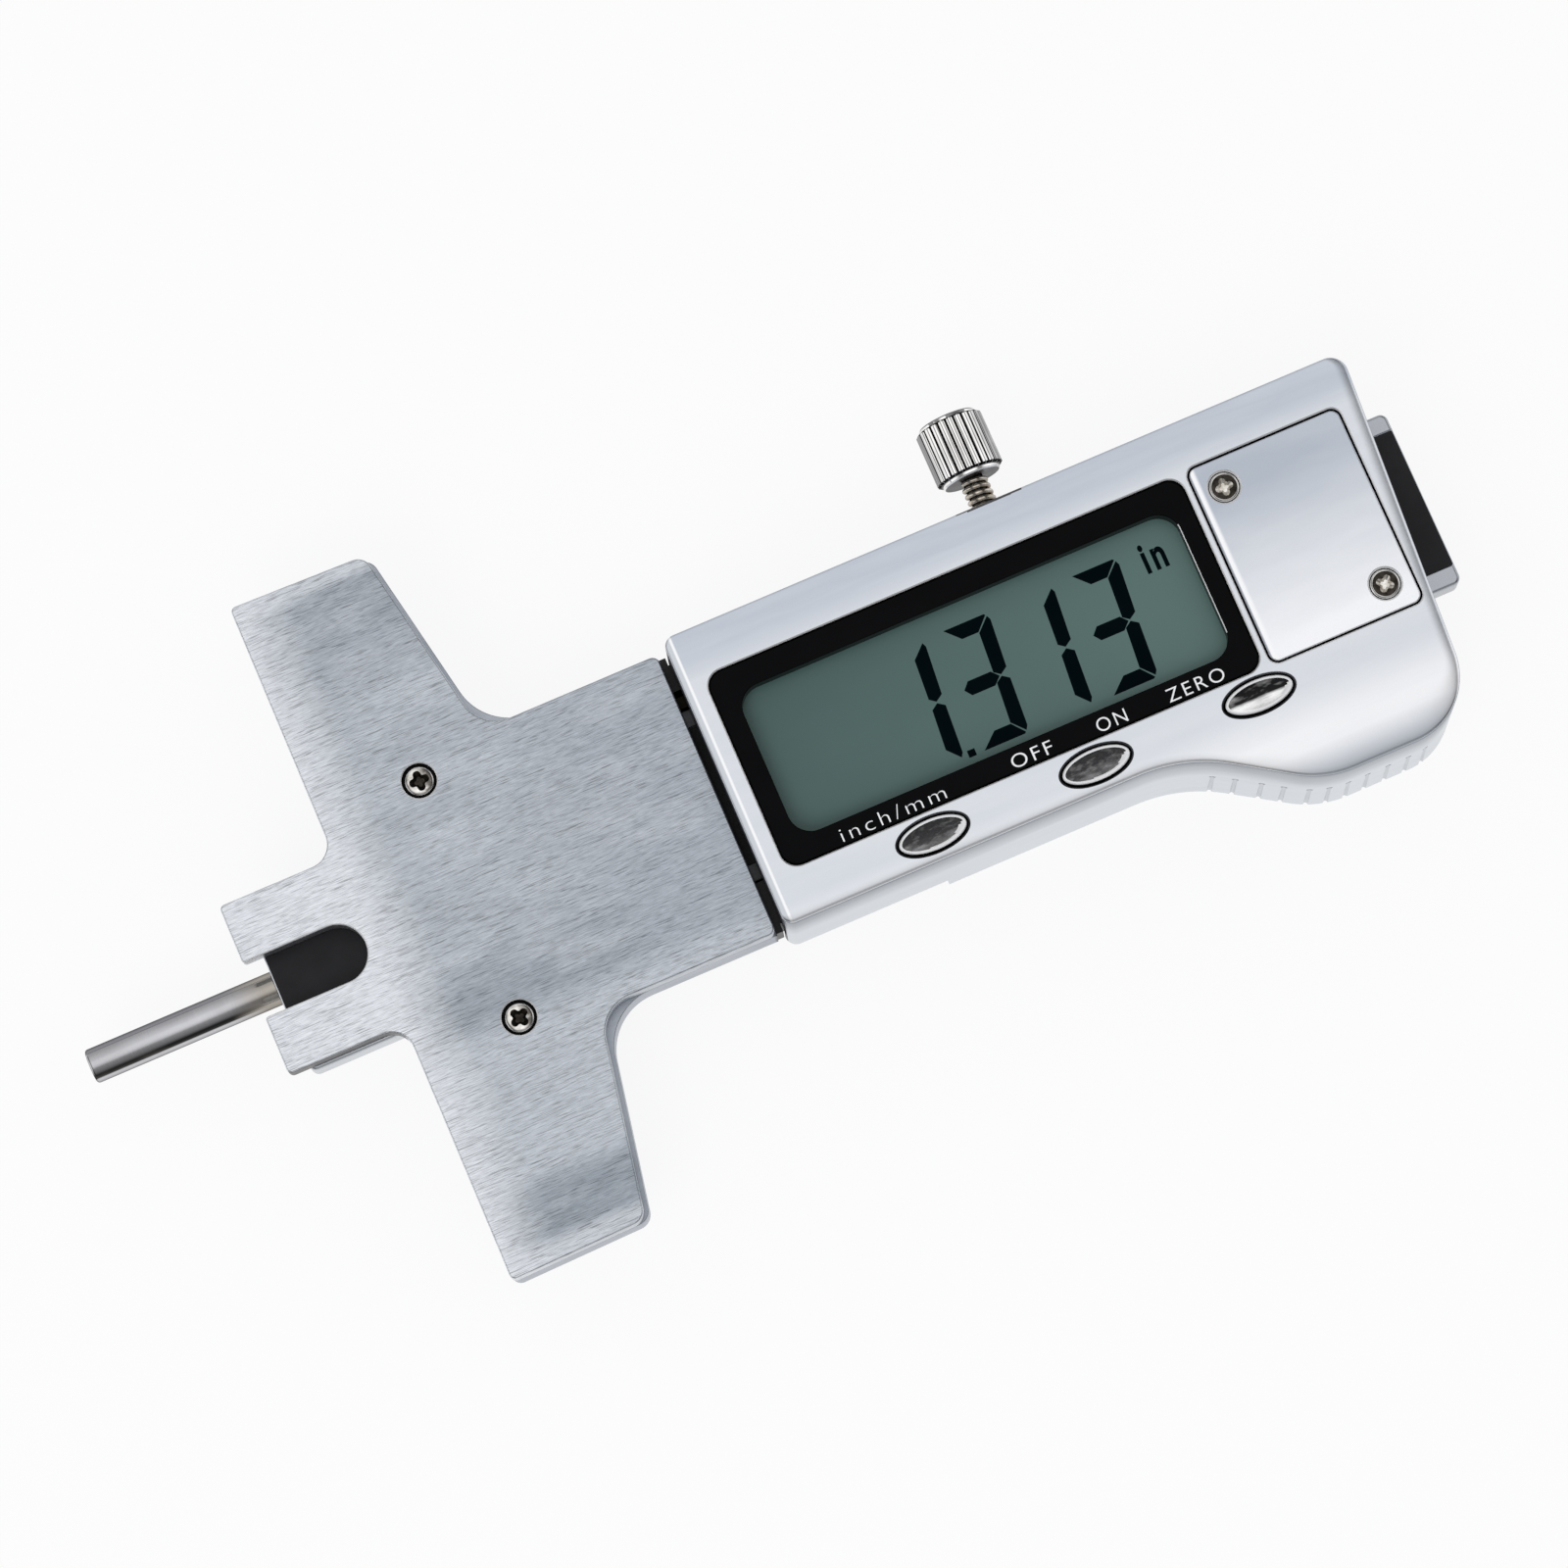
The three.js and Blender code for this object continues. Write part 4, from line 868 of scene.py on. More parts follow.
# ---------------------------------------------------------------------------------------------
# Geometry Nodes


class Shaper(Tree):
    """A Geometry Nodes tree with named inputs, which puts out real geometry in a finish."""

    def __init__(self, name: str, **inputs: str) -> None:
        """Starts the tree.

        Args:
            name: its name.
            inputs: the kind of each input, by its name.
        """
        super().__init__(bpy.data.node_groups.new(name, "GeometryNodeTree"))
        face = self.tree.interface
        for title, kind in inputs.items():
            face.new_socket(title, in_out="INPUT", socket_type=f"NodeSocket{kind}")
        face.new_socket("Geometry", in_out="OUTPUT", socket_type="NodeSocketGeometry")
        self.given = self.add("NodeGroupInput").outputs

    def end(self, geometry: Socket) -> None:
        """Makes the geometry real, lays the finish on it and puts it out."""
        real = self.add("GeometryNodeRealizeInstances", geometry)
        paint = self.add("GeometryNodeSetMaterial", real.outputs[0], Material=self.given["Finish"])
        self.add("NodeGroupOutput", paint.outputs[0])

    def run(self, made: bpy.types.Object, **wanted: object) -> bpy.types.Object:
        """Runs the tree on an object.

        Args:
            made: the object, which holds the result at the end.
            wanted: the tree's inputs by their names.

        Returns:
            The object.
        """
        step = made.modifiers.new(self.tree.name, "NODES")
        step.node_group = self.tree
        for item in self.tree.interface.items_tree:
            if item.in_out == "INPUT" and item.name in wanted:
                step[item.identifier] = wanted[item.name]
        return bake(made)


class Repeat(Shaper):
    """A tree that puts one shape on every point of a mesh, turned by its number."""

    def __init__(self) -> None:
        """Builds the tree."""
        super().__init__(
            "repeat_on_points", Geometry="Geometry", Shape="Object", Turn="Float", Finish="Material"
        )
        shape = self.add("GeometryNodeObjectInfo", self.given["Shape"])
        number = self.add("GeometryNodeInputIndex").outputs[0]
        turned_by = self.result_of("MULTIPLY", number, self.given["Turn"])
        about = self.add("ShaderNodeCombineXYZ", Z=turned_by)
        put = self.add(
            "GeometryNodeInstanceOnPoints", self.given["Geometry"],
            Instance=shape.outputs["Geometry"], Rotation=about.outputs[0],
        )
        self.end(put.outputs[0])

    def lay(
        self,
        name: str,
        places: Sequence[Point],
        shape: bpy.types.Object,
        finish: Finish,
        turn: float = 0.0,
        shift: float = FEET,
    ) -> bpy.types.Object:
        """Repeats a shape.

        Args:
            name: the new object's name.
            places: where it goes, in millimetres of the gauge's layout.
            shape: what is repeated, made about the origin; it is removed at the end.
            finish: its finish.
            turn: how far each next one turns about Z, in radians.
            shift: added to every x.

        Returns:
            The repeated shape as one plain mesh.
        """
        mesh = bpy.data.meshes.new(name)
        mesh.from_pydata([((x + shift) * MM, y * MM, z * MM) for x, y, z in places], [], [])
        made = self.run(object_of(name, mesh), Shape=shape, Turn=turn, Finish=finish.material())
        drop(shape)
        return made


class Helix(Shaper):
    """A tree that winds a round thread along Z."""

    def __init__(self) -> None:
        """Builds the tree."""
        super().__init__(
            "wound_thread", Turns="Float", Radius="Float", Length="Float", Wire="Float",
            Finish="Material",
        )
        spiral = self.add(
            "GeometryNodeCurveSpiral", Resolution=28, Rotations=self.given["Turns"],
            Start_Radius=self.given["Radius"], End_Radius=self.given["Radius"],
            Height=self.given["Length"],
        )
        wire = self.add(
            "GeometryNodeCurvePrimitiveCircle", Resolution=10, Radius=self.given["Wire"]
        )
        sweep = self.add(
            "GeometryNodeCurveToMesh", Curve=spiral.outputs[0], Profile_Curve=wire.outputs[0],
            Fill_Caps=True,
        )
        self.end(sweep.outputs[0])

    def wind(
        self, name: str, turns: float, radius: float, length: float, wire: float, finish: Finish
    ) -> bpy.types.Object:
        """Winds a thread about Z from the origin, sizes in millimetres."""
        return self.run(
            object_of(name, bpy.data.meshes.new(name)), Turns=turns, Radius=radius * MM,
            Length=length * MM, Wire=wire * MM, Finish=finish.material(),
        )


def joined(name: str, pieces: Sequence[bpy.types.Object]) -> bpy.types.Object:
    """One object from several, their meshes kept as they are."""
    bm = bmesh.new()
    for piece in pieces:
        bm.from_mesh(piece.data)
    mesh = bpy.data.meshes.new(name)
    bm.to_mesh(mesh)
    bm.free()
    drop(*pieces)
    return object_of(name, mesh)


# Letters: half their depth as made, how far it is flattened, their spacing and their curves' steps
LETTER_DEPTH = 0.01
LETTER_FLAT = 0.6
LETTER_SPACE = 1.22
LETTER_STEPS = 6


def lettering(text: str, sides: Sides, height: float) -> bpy.types.Object:
    """A word as a thin flat mesh.

    Args:
        text: the word.
        sides: its left and right ends, base line, top of its tallest letter and added weight.
        height: the height that it lies at.

    Returns:
        The word as an object.
    """
    left, right, base, top, weight = sides
    curve = bpy.data.curves.new(text, "FONT")
    curve.body = text
    curve.offset = weight
    curve.extrude = LETTER_DEPTH
    curve.space_character = LETTER_SPACE
    curve.resolution_u = LETTER_STEPS
    helper = bpy.data.objects.new(text, curve)
    bpy.context.scene.collection.objects.link(helper)
    bpy.context.view_layer.update()
    seen = helper.evaluated_get(bpy.context.evaluated_depsgraph_get())
    mesh = bpy.data.meshes.new_from_object(seen)
    drop(helper)
    xs = [v.co.x for v in mesh.vertices]
    ys = [v.co.y for v in mesh.vertices]
    wide, tall = max(xs) - min(xs), max(ys) - max(min(ys), 0.0)
    size = ((right - left) / wide * MM, (top - base) / tall * MM, LETTER_FLAT * MM, 1)
    place = Vector(((left + FEET) * MM, base * MM, (height + LETTER_FLAT * LETTER_DEPTH) * MM))
    start = Matrix.Translation((-min(xs), 0, 0))
    mesh.transform(Matrix.Translation(place) @ Matrix.Diagonal(size) @ start)
    return object_of("word", mesh)


# ---------------------------------------------------------------------------------------------
# The gauge


@dataclass(frozen=True)
class Screw:
    """A pan-head screw with a cross recess, its head's top at height 0."""

    head: float
    head_height: float
    shank: float
    length: float
    reach: float
    point: float = 0.2
    crown: float = 0.42
    crown_width: float = 1.6
    crown_steps: int = 8
    segments: int = 56
    arm: float = 0.38
    arm_end: float = 0.37
    arm_root: float = 0.2
    face_share: float = 0.41

    def shape(self) -> bpy.types.Object:
        """The screw about the origin, pointing down, with a cross-shaped recess."""
        r, h, s = self.head / 2, self.head_height, self.shank / 2
        end = -h - self.length
        profile = [(0.0, end), (s - self.point, end), (s, end + self.point), (s, -h), (r, -h)]
        for fall, inset in quarter(self.crown_steps):
            profile.append((r - self.crown * h * inset * self.crown_width, -self.crown * h * fall))
        profile.append((0.0, 0.0))
        body = turned("screw", profile, Axis.Z, (-FEET, 0, 0), self.segments)
        levels = ((-h * 0.62, 0.5), (-h * 0.3, 0.8), (-0.02, 0.97), (0.0, 1.0), (0.3, 1.3))
        rings = []
        for z, grow in levels:
            rings.append([(-FEET + x * grow, y * grow, z) for x, y in self.cross().points])
        return carve(body, [loft("cross", rings)])

    def cross(self) -> Outline:
        """The outline of the recess: four arms with rounded ends."""
        a, b = self.reach, self.reach * self.arm
        soft, inner = self.reach * self.arm_end, self.reach * self.arm_root
        arm = [(a, -b, soft), (a, b, soft), (b, b, inner)]
        corners = []
        for turn in range(4):
            c, s = math.cos(turn * math.pi / 2), math.sin(turn * math.pi / 2)
            corners += [(x * c - y * s, x * s + y * c, edge) for x, y, edge in arm]
        return Outline.rounded(corners, 5)

    def within(self, places: Sequence[Point], reach: float, high: float, low: float) -> Test:
        """Tells the faces near the axes of screws, between two depths under their tops.

        Args:
            places: the tops of the screws.
            reach: how far from an axis a face may be.
            high: the smaller depth.
            low: the greater depth.

        Returns:
            The test.
        """
        def inside(middle: Vector, normal: Vector) -> bool:
            return any(
                math.hypot(middle.x - x, middle.y - y) < reach and high <= abs(middle.z - z) < low
                for x, y, z in places
            )
        return inside

    def recess(self, places: Sequence[Point]) -> Test:
        """Tells the faces of the recesses of screws that stand at these places."""
        return self.within(places, self.reach, 0.02, self.head_height * 0.64)

    def face(self, places: Sequence[Point]) -> Test:
        """Tells the faces of the heads inside their bright rims."""
        return self.within(places, self.head * self.face_share, 0.0, self.head_height * 0.4)


@dataclass(frozen=True)
class ScrewSet:
    """Equal screws in one piece: where they stand, what they stand for and how they look."""

    name: str
    nodes: tuple[str, ...]
    slot: str
    screw: Screw
    places: tuple[Flat, ...]
    top: float
    turn: float
    finish: Finish
    recess: Finish
    face: Finish | None = None
    from_below: bool = False

    def build(self, repeat: Repeat) -> None:
        """Sets the screws in place as one piece, each turned on from the last."""
        shape = self.screw.shape()
        if self.from_below:
            shape.data.transform(Matrix.Rotation(math.pi, 4, "X"))
        places = [(x, y, self.top) for x, y in self.places]
        screws = repeat.lay(self.name, places, shape, self.finish, self.turn)
        also = [(self.screw.recess(places), self.recess)]
        if self.face:
            also.append((self.screw.face(places), self.face))
        dressed(screws, Body.CASE, None, self.nodes, also=also)


@dataclass
class Base:
    """The T-shaped plate and its two screws."""

    foot: float = 10.45
    foot_half: float = 7.7
    notch: float = 10.1
    notch_half: float = 2.5
    span: float = 30.9
    tip: float = 22.6
    root: float = 25.95
    stem: float = 12.85
    end: float = 42.0
    bottom: float = 7.42
    top: float = 9.32
    edge: float = 0.16
    edge_below: float = 0.12
    bore: Bore = Bore(0.93, 7.0, 9.4, 40)
    sink: Profile = ((1.5, 8.43), (1.5, 9.22), (1.6, 9.34), (1.6, 9.6))
    screws: ScrewSet = ScrewSet(
        "base_screws", ("base_screw_upper", "base_screw_lower"), "screw_steel",
        Screw(head=2.66, head_height=0.75, shank=1.6, length=4.2, reach=0.9),
        BASE_SCREWS, top=9.2, turn=0.5,
        # Painted shade in the recesses and over the right-hand side of the faces.
        finish=Finishes.SCREW, recess=Finishes.RECESS, face=Finishes.WORN_AND_SHADED,
    )
    # Limits of the tests that tell the plate's faces apart
    sunk_reach: float = 1.53
    sunk_top: float = 9.21
    lit_reach: float = 1.62
    lit_bottom: float = 9.15
    lit_beside: Flat = (0.2, 0.25)
    unlit_beside: Flat = (0.3, 2.2)

    def outline(self) -> Outline:
        """The plate's outline with its feet and notch."""
        upper = [
            (0.0, self.notch_half, 0.3), (0.0, self.foot_half, 0.45),
            (self.foot, self.foot_half, 2.0), (self.foot, self.span, 0.5),
            (self.tip, self.span - 0.3, 1.3), (self.root, self.stem, 3.2),
            (self.end, self.stem, 0.7),
        ]
        lower = [(x, -y, r) for x, y, r in reversed(upper)]
        notch = [(self.notch, -self.notch_half, 2.5), (self.notch, self.notch_half, 2.5)]
        return Outline.rounded([*upper, *lower, *notch])

    def build(self, repeat: Repeat) -> None:
        """Builds the plate and its screws."""
        plate = slab(
            "base_plate_brushed", self.outline(), self.bottom, self.top, self.edge, self.edge_below
        )
        bores = []
        for x, y in BASE_SCREWS:
            bores.append(self.bore.at((x, y, 0)))
            bores.append(turned("sink", self.sink, Axis.Z, (x, y, 0), segments=56))
        carve(plate, bores)
        also = [
            (self.sunk, Finishes.SHADE), (self.lit, Finishes.HIGHLIGHT), (self.unlit, Finishes.DARK),
        ]
        dressed(plate, Body.CASE, Finishes.PLATE, ["base_plate"], also=also)
        self.screws.build(repeat)

    def sunk(self, middle: Vector, normal: Vector) -> bool:
        """Tells the faces inside the counterbores of the screws, which get painted shade."""
        return nearest(middle, BASE_SCREWS) < self.sunk_reach and middle.z < self.sunk_top

    def lit(self, middle: Vector, normal: Vector) -> bool:
        """Tells the edges round the notch and the counterbores, which get a painted highlight."""
        past, beside = self.lit_beside
        notch = middle.x < self.notch + past and abs(middle.y) < self.notch_half + beside
        edge = middle.z > self.lit_bottom and 0.3 < normal.z < 0.97
        return edge and (notch or nearest(middle, BASE_SCREWS) < self.lit_reach)

    def unlit(self, middle: Vector, normal: Vector) -> bool:
        """Tells the side of the lower foot, which gets painted shade."""
        past, beside = self.unlit_beside
        near = middle.x < self.foot + past and abs(middle.y + self.foot_half) < beside
        return near and normal.y < -0.45 and normal.z < 0.5


@dataclass
class Frame:
    """The steel body behind the plate, with the channel of the beam."""

    bottom: float = 4.05
    top: float = 7.4
    edge: float = 0.1
    edge_below: float = 0.15
    head: tuple[Corner, ...] = (
        (10.45, 30.9, 0.8), (23.0, 30.6, 1.3), (26.35, 12.85, 5.0), (42.0, 12.85, 0.0),
    )
    web: Block = ((11.95, -10.6, 2.6), (42.6, 10.6, 4.3))
    tongue: Block = ((41.0, -12.7, 4.05), (42.6, 12.7, 7.4))
    rails: Block = ((41.2, -12.0, 2.6), (101.45, 12.0, 7.4))
    channel: Block = ((-1.0, -8.05, 4.15), (102.45, 8.05, 9.0))
    gib_slot: Block = ((-1.1, 0.0, 4.15), (97.95, 9.7, 9.1))
    lock_bore: Bore = Bore(1.35, 7.5, 13.2, 40)
    stop_bore: Bore = Bore(0.92, 1.0, 5.0)
    stop_x: float = 59.75
    base_bore: Bore = Bore(0.93, 0.0, 9.0)
    rear_bore: Bore = Bore(0.77, 0.0, 9.0)
    gib_bore: Bore = Bore(0.9, 9.0, 14.0)
    gib_screws: tuple[float, ...] = (33.5, 39.0)
    gib_z: float = 5.8

    def outline(self) -> Outline:
        """The T-shaped outline of its head."""
        lower = [(x, -y, r) for x, y, r in reversed(self.head)]
        return Outline.rounded([*self.head, *lower], steps=20)

    def build(self) -> None:
        """Builds the frame and cuts its channel, slots and bores."""
        head = slab(
            "frame_machined", self.outline(), self.bottom, self.top, self.edge, self.edge_below
        )
        parts = [box("part", *ends) for ends in (self.web, self.tongue, self.rails)]
        carve(head, parts, Work.JOIN)
        cuts = [box("way", *ends) for ends in (self.channel, self.gib_slot)]
        cuts += [self.lock_bore.at(LOCK, Axis.Y), self.stop_bore.at((self.stop_x, 0, 0))]
        cuts += self.base_bore.each(BASE_SCREWS) + self.rear_bore.each(REAR_SCREWS)
        cuts += [self.gib_bore.at((x, 0, self.gib_z), Axis.Y) for x in self.gib_screws]
        carve(head, cuts)
        dressed(head, Body.CASE, Finishes.FRAME, ["frame"], sharp=28)


@dataclass
class Slide:
    """The beam with its black strip and the depth rod."""

    left: float = 1.7
    right: float = 106.9
    half: float = 8.0
    bottom: float = 4.3
    top: float = 7.3
    corner: float = 0.7
    edge: float = 0.3
    groove: Block = ((43.4, -1.1, 3.0), (71.1, 1.1, 5.2))
    recess_half: float = 6.45
    recess_floor: float = 7.0
    strip_gap: float = 0.1
    strip_bottom: float = 7.02
    strip_top: float = 7.27
    strip_edge: float = 0.04
    strip_corner: float = 0.15
    rod: float = 1.5
    rod_shown: float = 15.2
    rod_edge: float = 0.28
    rod_edge_steps: int = 6
    rod_shoulder: float = 1.65
    rod_stem: float = 1.0
    rod_end: float = 7.2
    rod_bore: Bore = Bore(1.15, 0.0, 7.7, 40)

    def build(self) -> None:
        """Builds the beam, the strip and the rod."""
        outline = Outline.rectangle(self.left, self.right, -self.half, self.half, self.corner)
        beam = slab("beam_ground", outline, self.bottom, self.top, self.edge, self.edge)
        middle = (self.bottom + self.top) / 2
        half = self.recess_half
        carve(beam, [
            box("recess", (0, -half, self.recess_floor), (110, half, 9)),
            self.rod_bore.at((0, 0, middle), Axis.X),
            box("groove", *self.groove),
        ])
        dressed(beam, Body.BEAM, Finishes.BEAM, ["beam"])
        gap = self.strip_gap
        outline = Outline.rectangle(
            self.left + gap, self.right - gap, -(half - gap), half - gap, self.strip_corner
        )
        strip = slab("strip_matt", outline, self.strip_bottom, self.strip_top, self.strip_edge)
        dressed(strip, Body.BEAM, Finishes.STRIP, ["scale_strip"])
        profile = [(0.0, -self.rod_shown)]
        for fall, along in quarter(self.rod_edge_steps):
            out = -self.rod_shown + self.rod_edge * along
            profile.append((self.rod - self.rod_edge * fall, out))
        profile += [
            (self.rod, self.rod_shoulder), (self.rod_stem, self.rod_shoulder),
            (self.rod_stem, self.rod_end), (0.0, self.rod_end),
        ]
        rod = turned("rod_polished", profile, Axis.X, (0, 0, middle), segments=96)
        dressed(rod, Body.BEAM, Finishes.ROD, ["depth_rod"])


@dataclass
class Housing:
    """The chrome casting with its thumb grip."""

    left: float = 42.75
    right: float = 104.85
    half: float = 13.2
    top: float = 12.7
    inside: float = 11.2
    ledge: float = 11.7
    wall: float = 0.8
    flare: float = 0.3
    edge: float = 0.14
    edge_below: float = 0.26
    roll: float = 0.12
    roll_below: float = 0.6
    roll_lobe: float = 2.0
    roll_right: float = 0.7
    roll_tilt: float = 14.0
    roll_steps: int = 7
    lobe: float = -14.5
    lobe_depth: float = 4.5
    button_y: float = -10.95
    buttons: tuple[float, ...] = (57.0, 71.78, 86.56)
    button_hole: Flat = (6.38, 3.04)
    button_edge: Profile = ((0.0, 12.4), (0.0, 12.55), (-0.16, 12.71), (-0.16, 13.0))
    pocket: Block = ((-4.2, -12.5, 8.2), (4.2, -9.4, 11.2))
    mouth: float = 12.58
    mouth_edge: float = 0.12
    window: Sides = (44.7, 88.0, -8.95, 8.95, 1.5)
    cover: Sides = (88.55, 102.6, -9.1, 9.1, 0.95)
    opening: Sides = (45.9, 86.8, -7.75, 7.75, 0.0)
    step: Block = ((40.0, -25.0, -1.5), (57.4, 25.0, 2.1))
    frame_way: Block = ((40.0, -12.4, -1.2), (44.55, 12.4, 7.7))
    beam_way: Block = ((101.45, -8.3, 4.0), (106.0, 8.3, 7.7))
    flute: float = 0.2
    flute_top: float = 6.4
    flute_first: float = 80.8
    flute_pitch: float = 1.75
    flute_count: int = 11
    flute_out: float = 0.03
    dimple: float = 0.34
    dimple_steps: int = 8
    post: Bore = Bore(1.55, 7.7, 11.6, 40)
    boss: Bore = Bore(1.2, 9.0, 11.6, 36)
    rear_bore: Bore = Bore(0.77, -1.0, 10.42)
    cover_bore: Bore = Bore(0.82, 8.0, 12.5)
    lock_bore: Bore = Bore(1.5, 7.9, 15.0, 48)
    lock_relief: Bore = Bore(3.1, 13.17, 15.0, 64)
    cell: Bore = Bore(6.1, 10.0, 12.5, 72)
    cell_x: float = 95.575
    # Limits of the tests that tell the casting's faces apart
    zone: Flat = (44.4, 102.9)
    zone_half: float = 9.25
    zone_top: float = 12.57
    hole_top: float = 12.56
    hole_half: Flat = (3.25, 1.6)
    wall_top: float = 12.5
    knob_half: float = 3.3
    knob_bottom: float = 12.2
    knob_reach: float = 0.36
    flute_near: Flat = (0.185, 0.39)
    # Where the flutes of the grip stand, once they are placed
    stands: list[Point] = field(default_factory=list)

    def outline(self) -> Outline:
        """The outline with the lobe of the grip."""
        return Outline.rounded([
            (self.left, self.half, 1.0), (self.right, self.half, 1.5),
            (102.7, -19.65, 6.0), (88.85, -19.65, 9.0), (78.75, -self.half, 14.0),
            (self.left, -self.half, 1.0),
        ], steps=18)

    def lean(self, x: float, y: float, z: float) -> Point:
        """Leans the walls out towards the back."""
        share = (self.top - z) / self.top
        return x, y + math.copysign(self.flare * share, y), z

    def skin(self) -> bpy.types.Object:
        """The outer skin: leaning walls, a small edge radius and a face that rolls down to it."""
        outline = self.outline().finer(step=1.0)
        tilt = math.radians(self.roll_tilt)
        widths, edges = [], []
        for (x, y), (out_x, out_y) in zip(outline.points, outline.outward):
            low = max(0.0, min(1.0, (self.lobe - y) / self.lobe_depth))
            below = max(0.0, -out_y)
            low *= low * (3 - 2 * low)
            right = max(0.0, out_x)
            lower = below * (self.roll_below + self.roll_lobe * low)
            widths.append(self.roll + lower + self.roll_right * right)
            edges.append(self.edge + self.edge_below * max(below, right))
        levels: list[list[Flat]] = [[(0.0, 0.0)] * len(widths)]
        steps = self.roll_steps
        slope = math.tan(tilt)
        for k in range(steps + 1):
            turn = math.pi / 2 + (tilt - math.pi / 2) * k / steps
            fall = math.cos(tilt) - math.cos(turn)
            levels.append([
                (edge * (1 - math.sin(turn)), self.top - slope * width / 2 - edge * fall)
                for width, edge in zip(widths, edges)
            ])
        for k in range(1, steps + 1):
            rest = 1 - k / steps
            levels.append([
                (
                    edge * (1 - math.sin(tilt)) + width * (1 - rest),
                    self.top - slope * width * rest * rest / 2,
                )
                for width, edge in zip(widths, edges)
            ])
        rings = []
        for level in levels:
            ring = []
            for (x, y), (out_x, out_y), (inset, z) in zip(outline.points, outline.outward, level):
                ring.append(self.lean(x - out_x * inset, y - out_y * inset, z))
            rings.append(ring)
        return loft("housing_satin", rings)

    def flute_places(self) -> list[Point]:
        """Where the flutes of the grip stand, just off the wall."""
        outline = self.outline().finer(step=0.4)
        both = zip(outline.points, outline.outward)
        lower = [(p, n) for p, n in both if p[1] < -self.half + 1 and n[1] < -0.3]
        places = []
        for i in range(self.flute_count):
            wanted = self.flute_first + self.flute_pitch * i
            (x, y), (out_x, out_y) = min(lower, key=lambda pair: abs(pair[0][0] - wanted))
            off = self.flute_out
            places.append((x + off * out_x, y - self.flare + off * out_y, 0.0))
        return places

    def flutes(self, repeat: Repeat) -> bpy.types.Object:
        """The flutes of the grip, each with a round dimple at its top, as one cutter."""
        profile = [(self.flute, -1.0)]
        for k in range(self.dimple_steps + 1):
            angle = -math.pi / 4 + math.pi * 3 / 4 * k / self.dimple_steps
            rise = self.flute_top + self.dimple * math.sin(angle)
            profile.append((self.dimple * math.cos(angle), rise))
        shape = turned("flute", profile, Axis.Z, (-FEET, 0, 0), segments=24)
        return repeat.lay("flutes", self.stands, shape, Finishes.FLUTE)

    def fluted(self, middle: Vector, normal: Vector) -> bool:
        """Tells the faces of the flutes and their dimples, which look at their axes and get painted
        shade.
        """
        near, far = self.flute_near
        for x, y, _ in self.stands:
            away = middle - Vector((x, y, middle.z if middle.z < 6.1 else self.flute_top))
            if near < away.length < far and away.normalized().dot(normal) < -0.85:
                return True
        return False

    def recessed(self, middle: Vector) -> bool:
        """Tells what lies over the recesses of the window and the cover."""
        left, right = self.zone
        return left < middle.x < right and abs(middle.y) < self.zone_half

    def hidden(self, middle: Vector, normal: Vector) -> bool:
        """Tells the faces inside the recesses, the button holes and the case, which get painted
        shade.
        """
        if self.recessed(middle):
            return middle.z < self.zone_top
        length, width = self.hole_half
        if middle.z < self.hole_top and abs(middle.y - self.button_y) < width:
            return any(abs(middle.x - x) < length for x in self.buttons)
        return False

    def under_knob(self, middle: Vector, normal: Vector) -> bool:
        """Tells the edge beside the lock screw, which gets a painted dark reflection of its
        underside.
        """
        share = (middle.x - LOCK_X) / self.knob_half
        reach = self.knob_reach * (1 - share * share)
        return middle.z > self.knob_bottom and middle.y > self.half - reach

    def outer(self, middle: Vector, normal: Vector) -> bool:
        """Tells the walls from the face."""
        return normal.z < 0.55 and not self.wall_top < middle.z < self.top

    def rim(self, middle: Vector, normal: Vector) -> bool:
        """Tells the chamfers round the recesses, which get a painted highlight."""
        return self.recessed(middle) and normal.z < 0.95 and middle.z > self.zone_top

    def end_face(self, middle: Vector, normal: Vector) -> bool:
        """Tells the end that faces the base, which gets painted shade."""
        return normal.x < -0.9 and middle.x < 43.0 and middle.z < 12.4

    def posts(self) -> list[bpy.types.Object]:
        """The screw posts and bosses inside."""
        made = []
        for post in self.post.each(REAR_SCREWS):
            keep = slab("keep", self.outline(), bottom=5, top=12, inset=self.wall / 2)
            made.append(carve(post, [keep], Work.KEEP))
        return made + self.boss.each(COVER_SCREWS)

    def cutters(self, repeat: Repeat) -> list[bpy.types.Object]:
        """Everything that is cut out of the casting."""
        cuts = [self.chamfered(Outline.rectangle(*ends)) for ends in (self.window, self.cover)]
        cuts += [
            slab("opening", Outline.rectangle(*self.opening), bottom=10, top=12),
            self.cell.at((self.cell_x, 0, 0)),
            box("frame_way", *self.frame_way), box("beam_way", *self.beam_way),
            self.lock_bore.at(LOCK, Axis.Y), self.lock_relief.at(LOCK, Axis.Y),
            self.flutes(repeat),
        ]
        for x in self.buttons:
            hole = Outline.ellipse(x, self.button_y, *self.button_hole)
            cuts.append(slab("button", hole, bottom=9, top=12.5))
            cuts.append(loft("button_edge", levels_of(hole, self.button_edge)))
            cuts.append(box("pocket", *shifted(self.pocket, x)))
        cuts += self.cover_bore.each(COVER_SCREWS) + self.rear_bore.each(REAR_SCREWS)
        return cuts

    def chamfered(self, outline: Outline) -> bpy.types.Object:
        """A recess down to the ledge with a small chamfer round its mouth."""
        edge = self.mouth_edge
        levels = ((0.0, self.ledge), (0.0, self.mouth), (-edge, self.top), (-edge, 14.0))
        return loft("recess", levels_of(outline, levels))

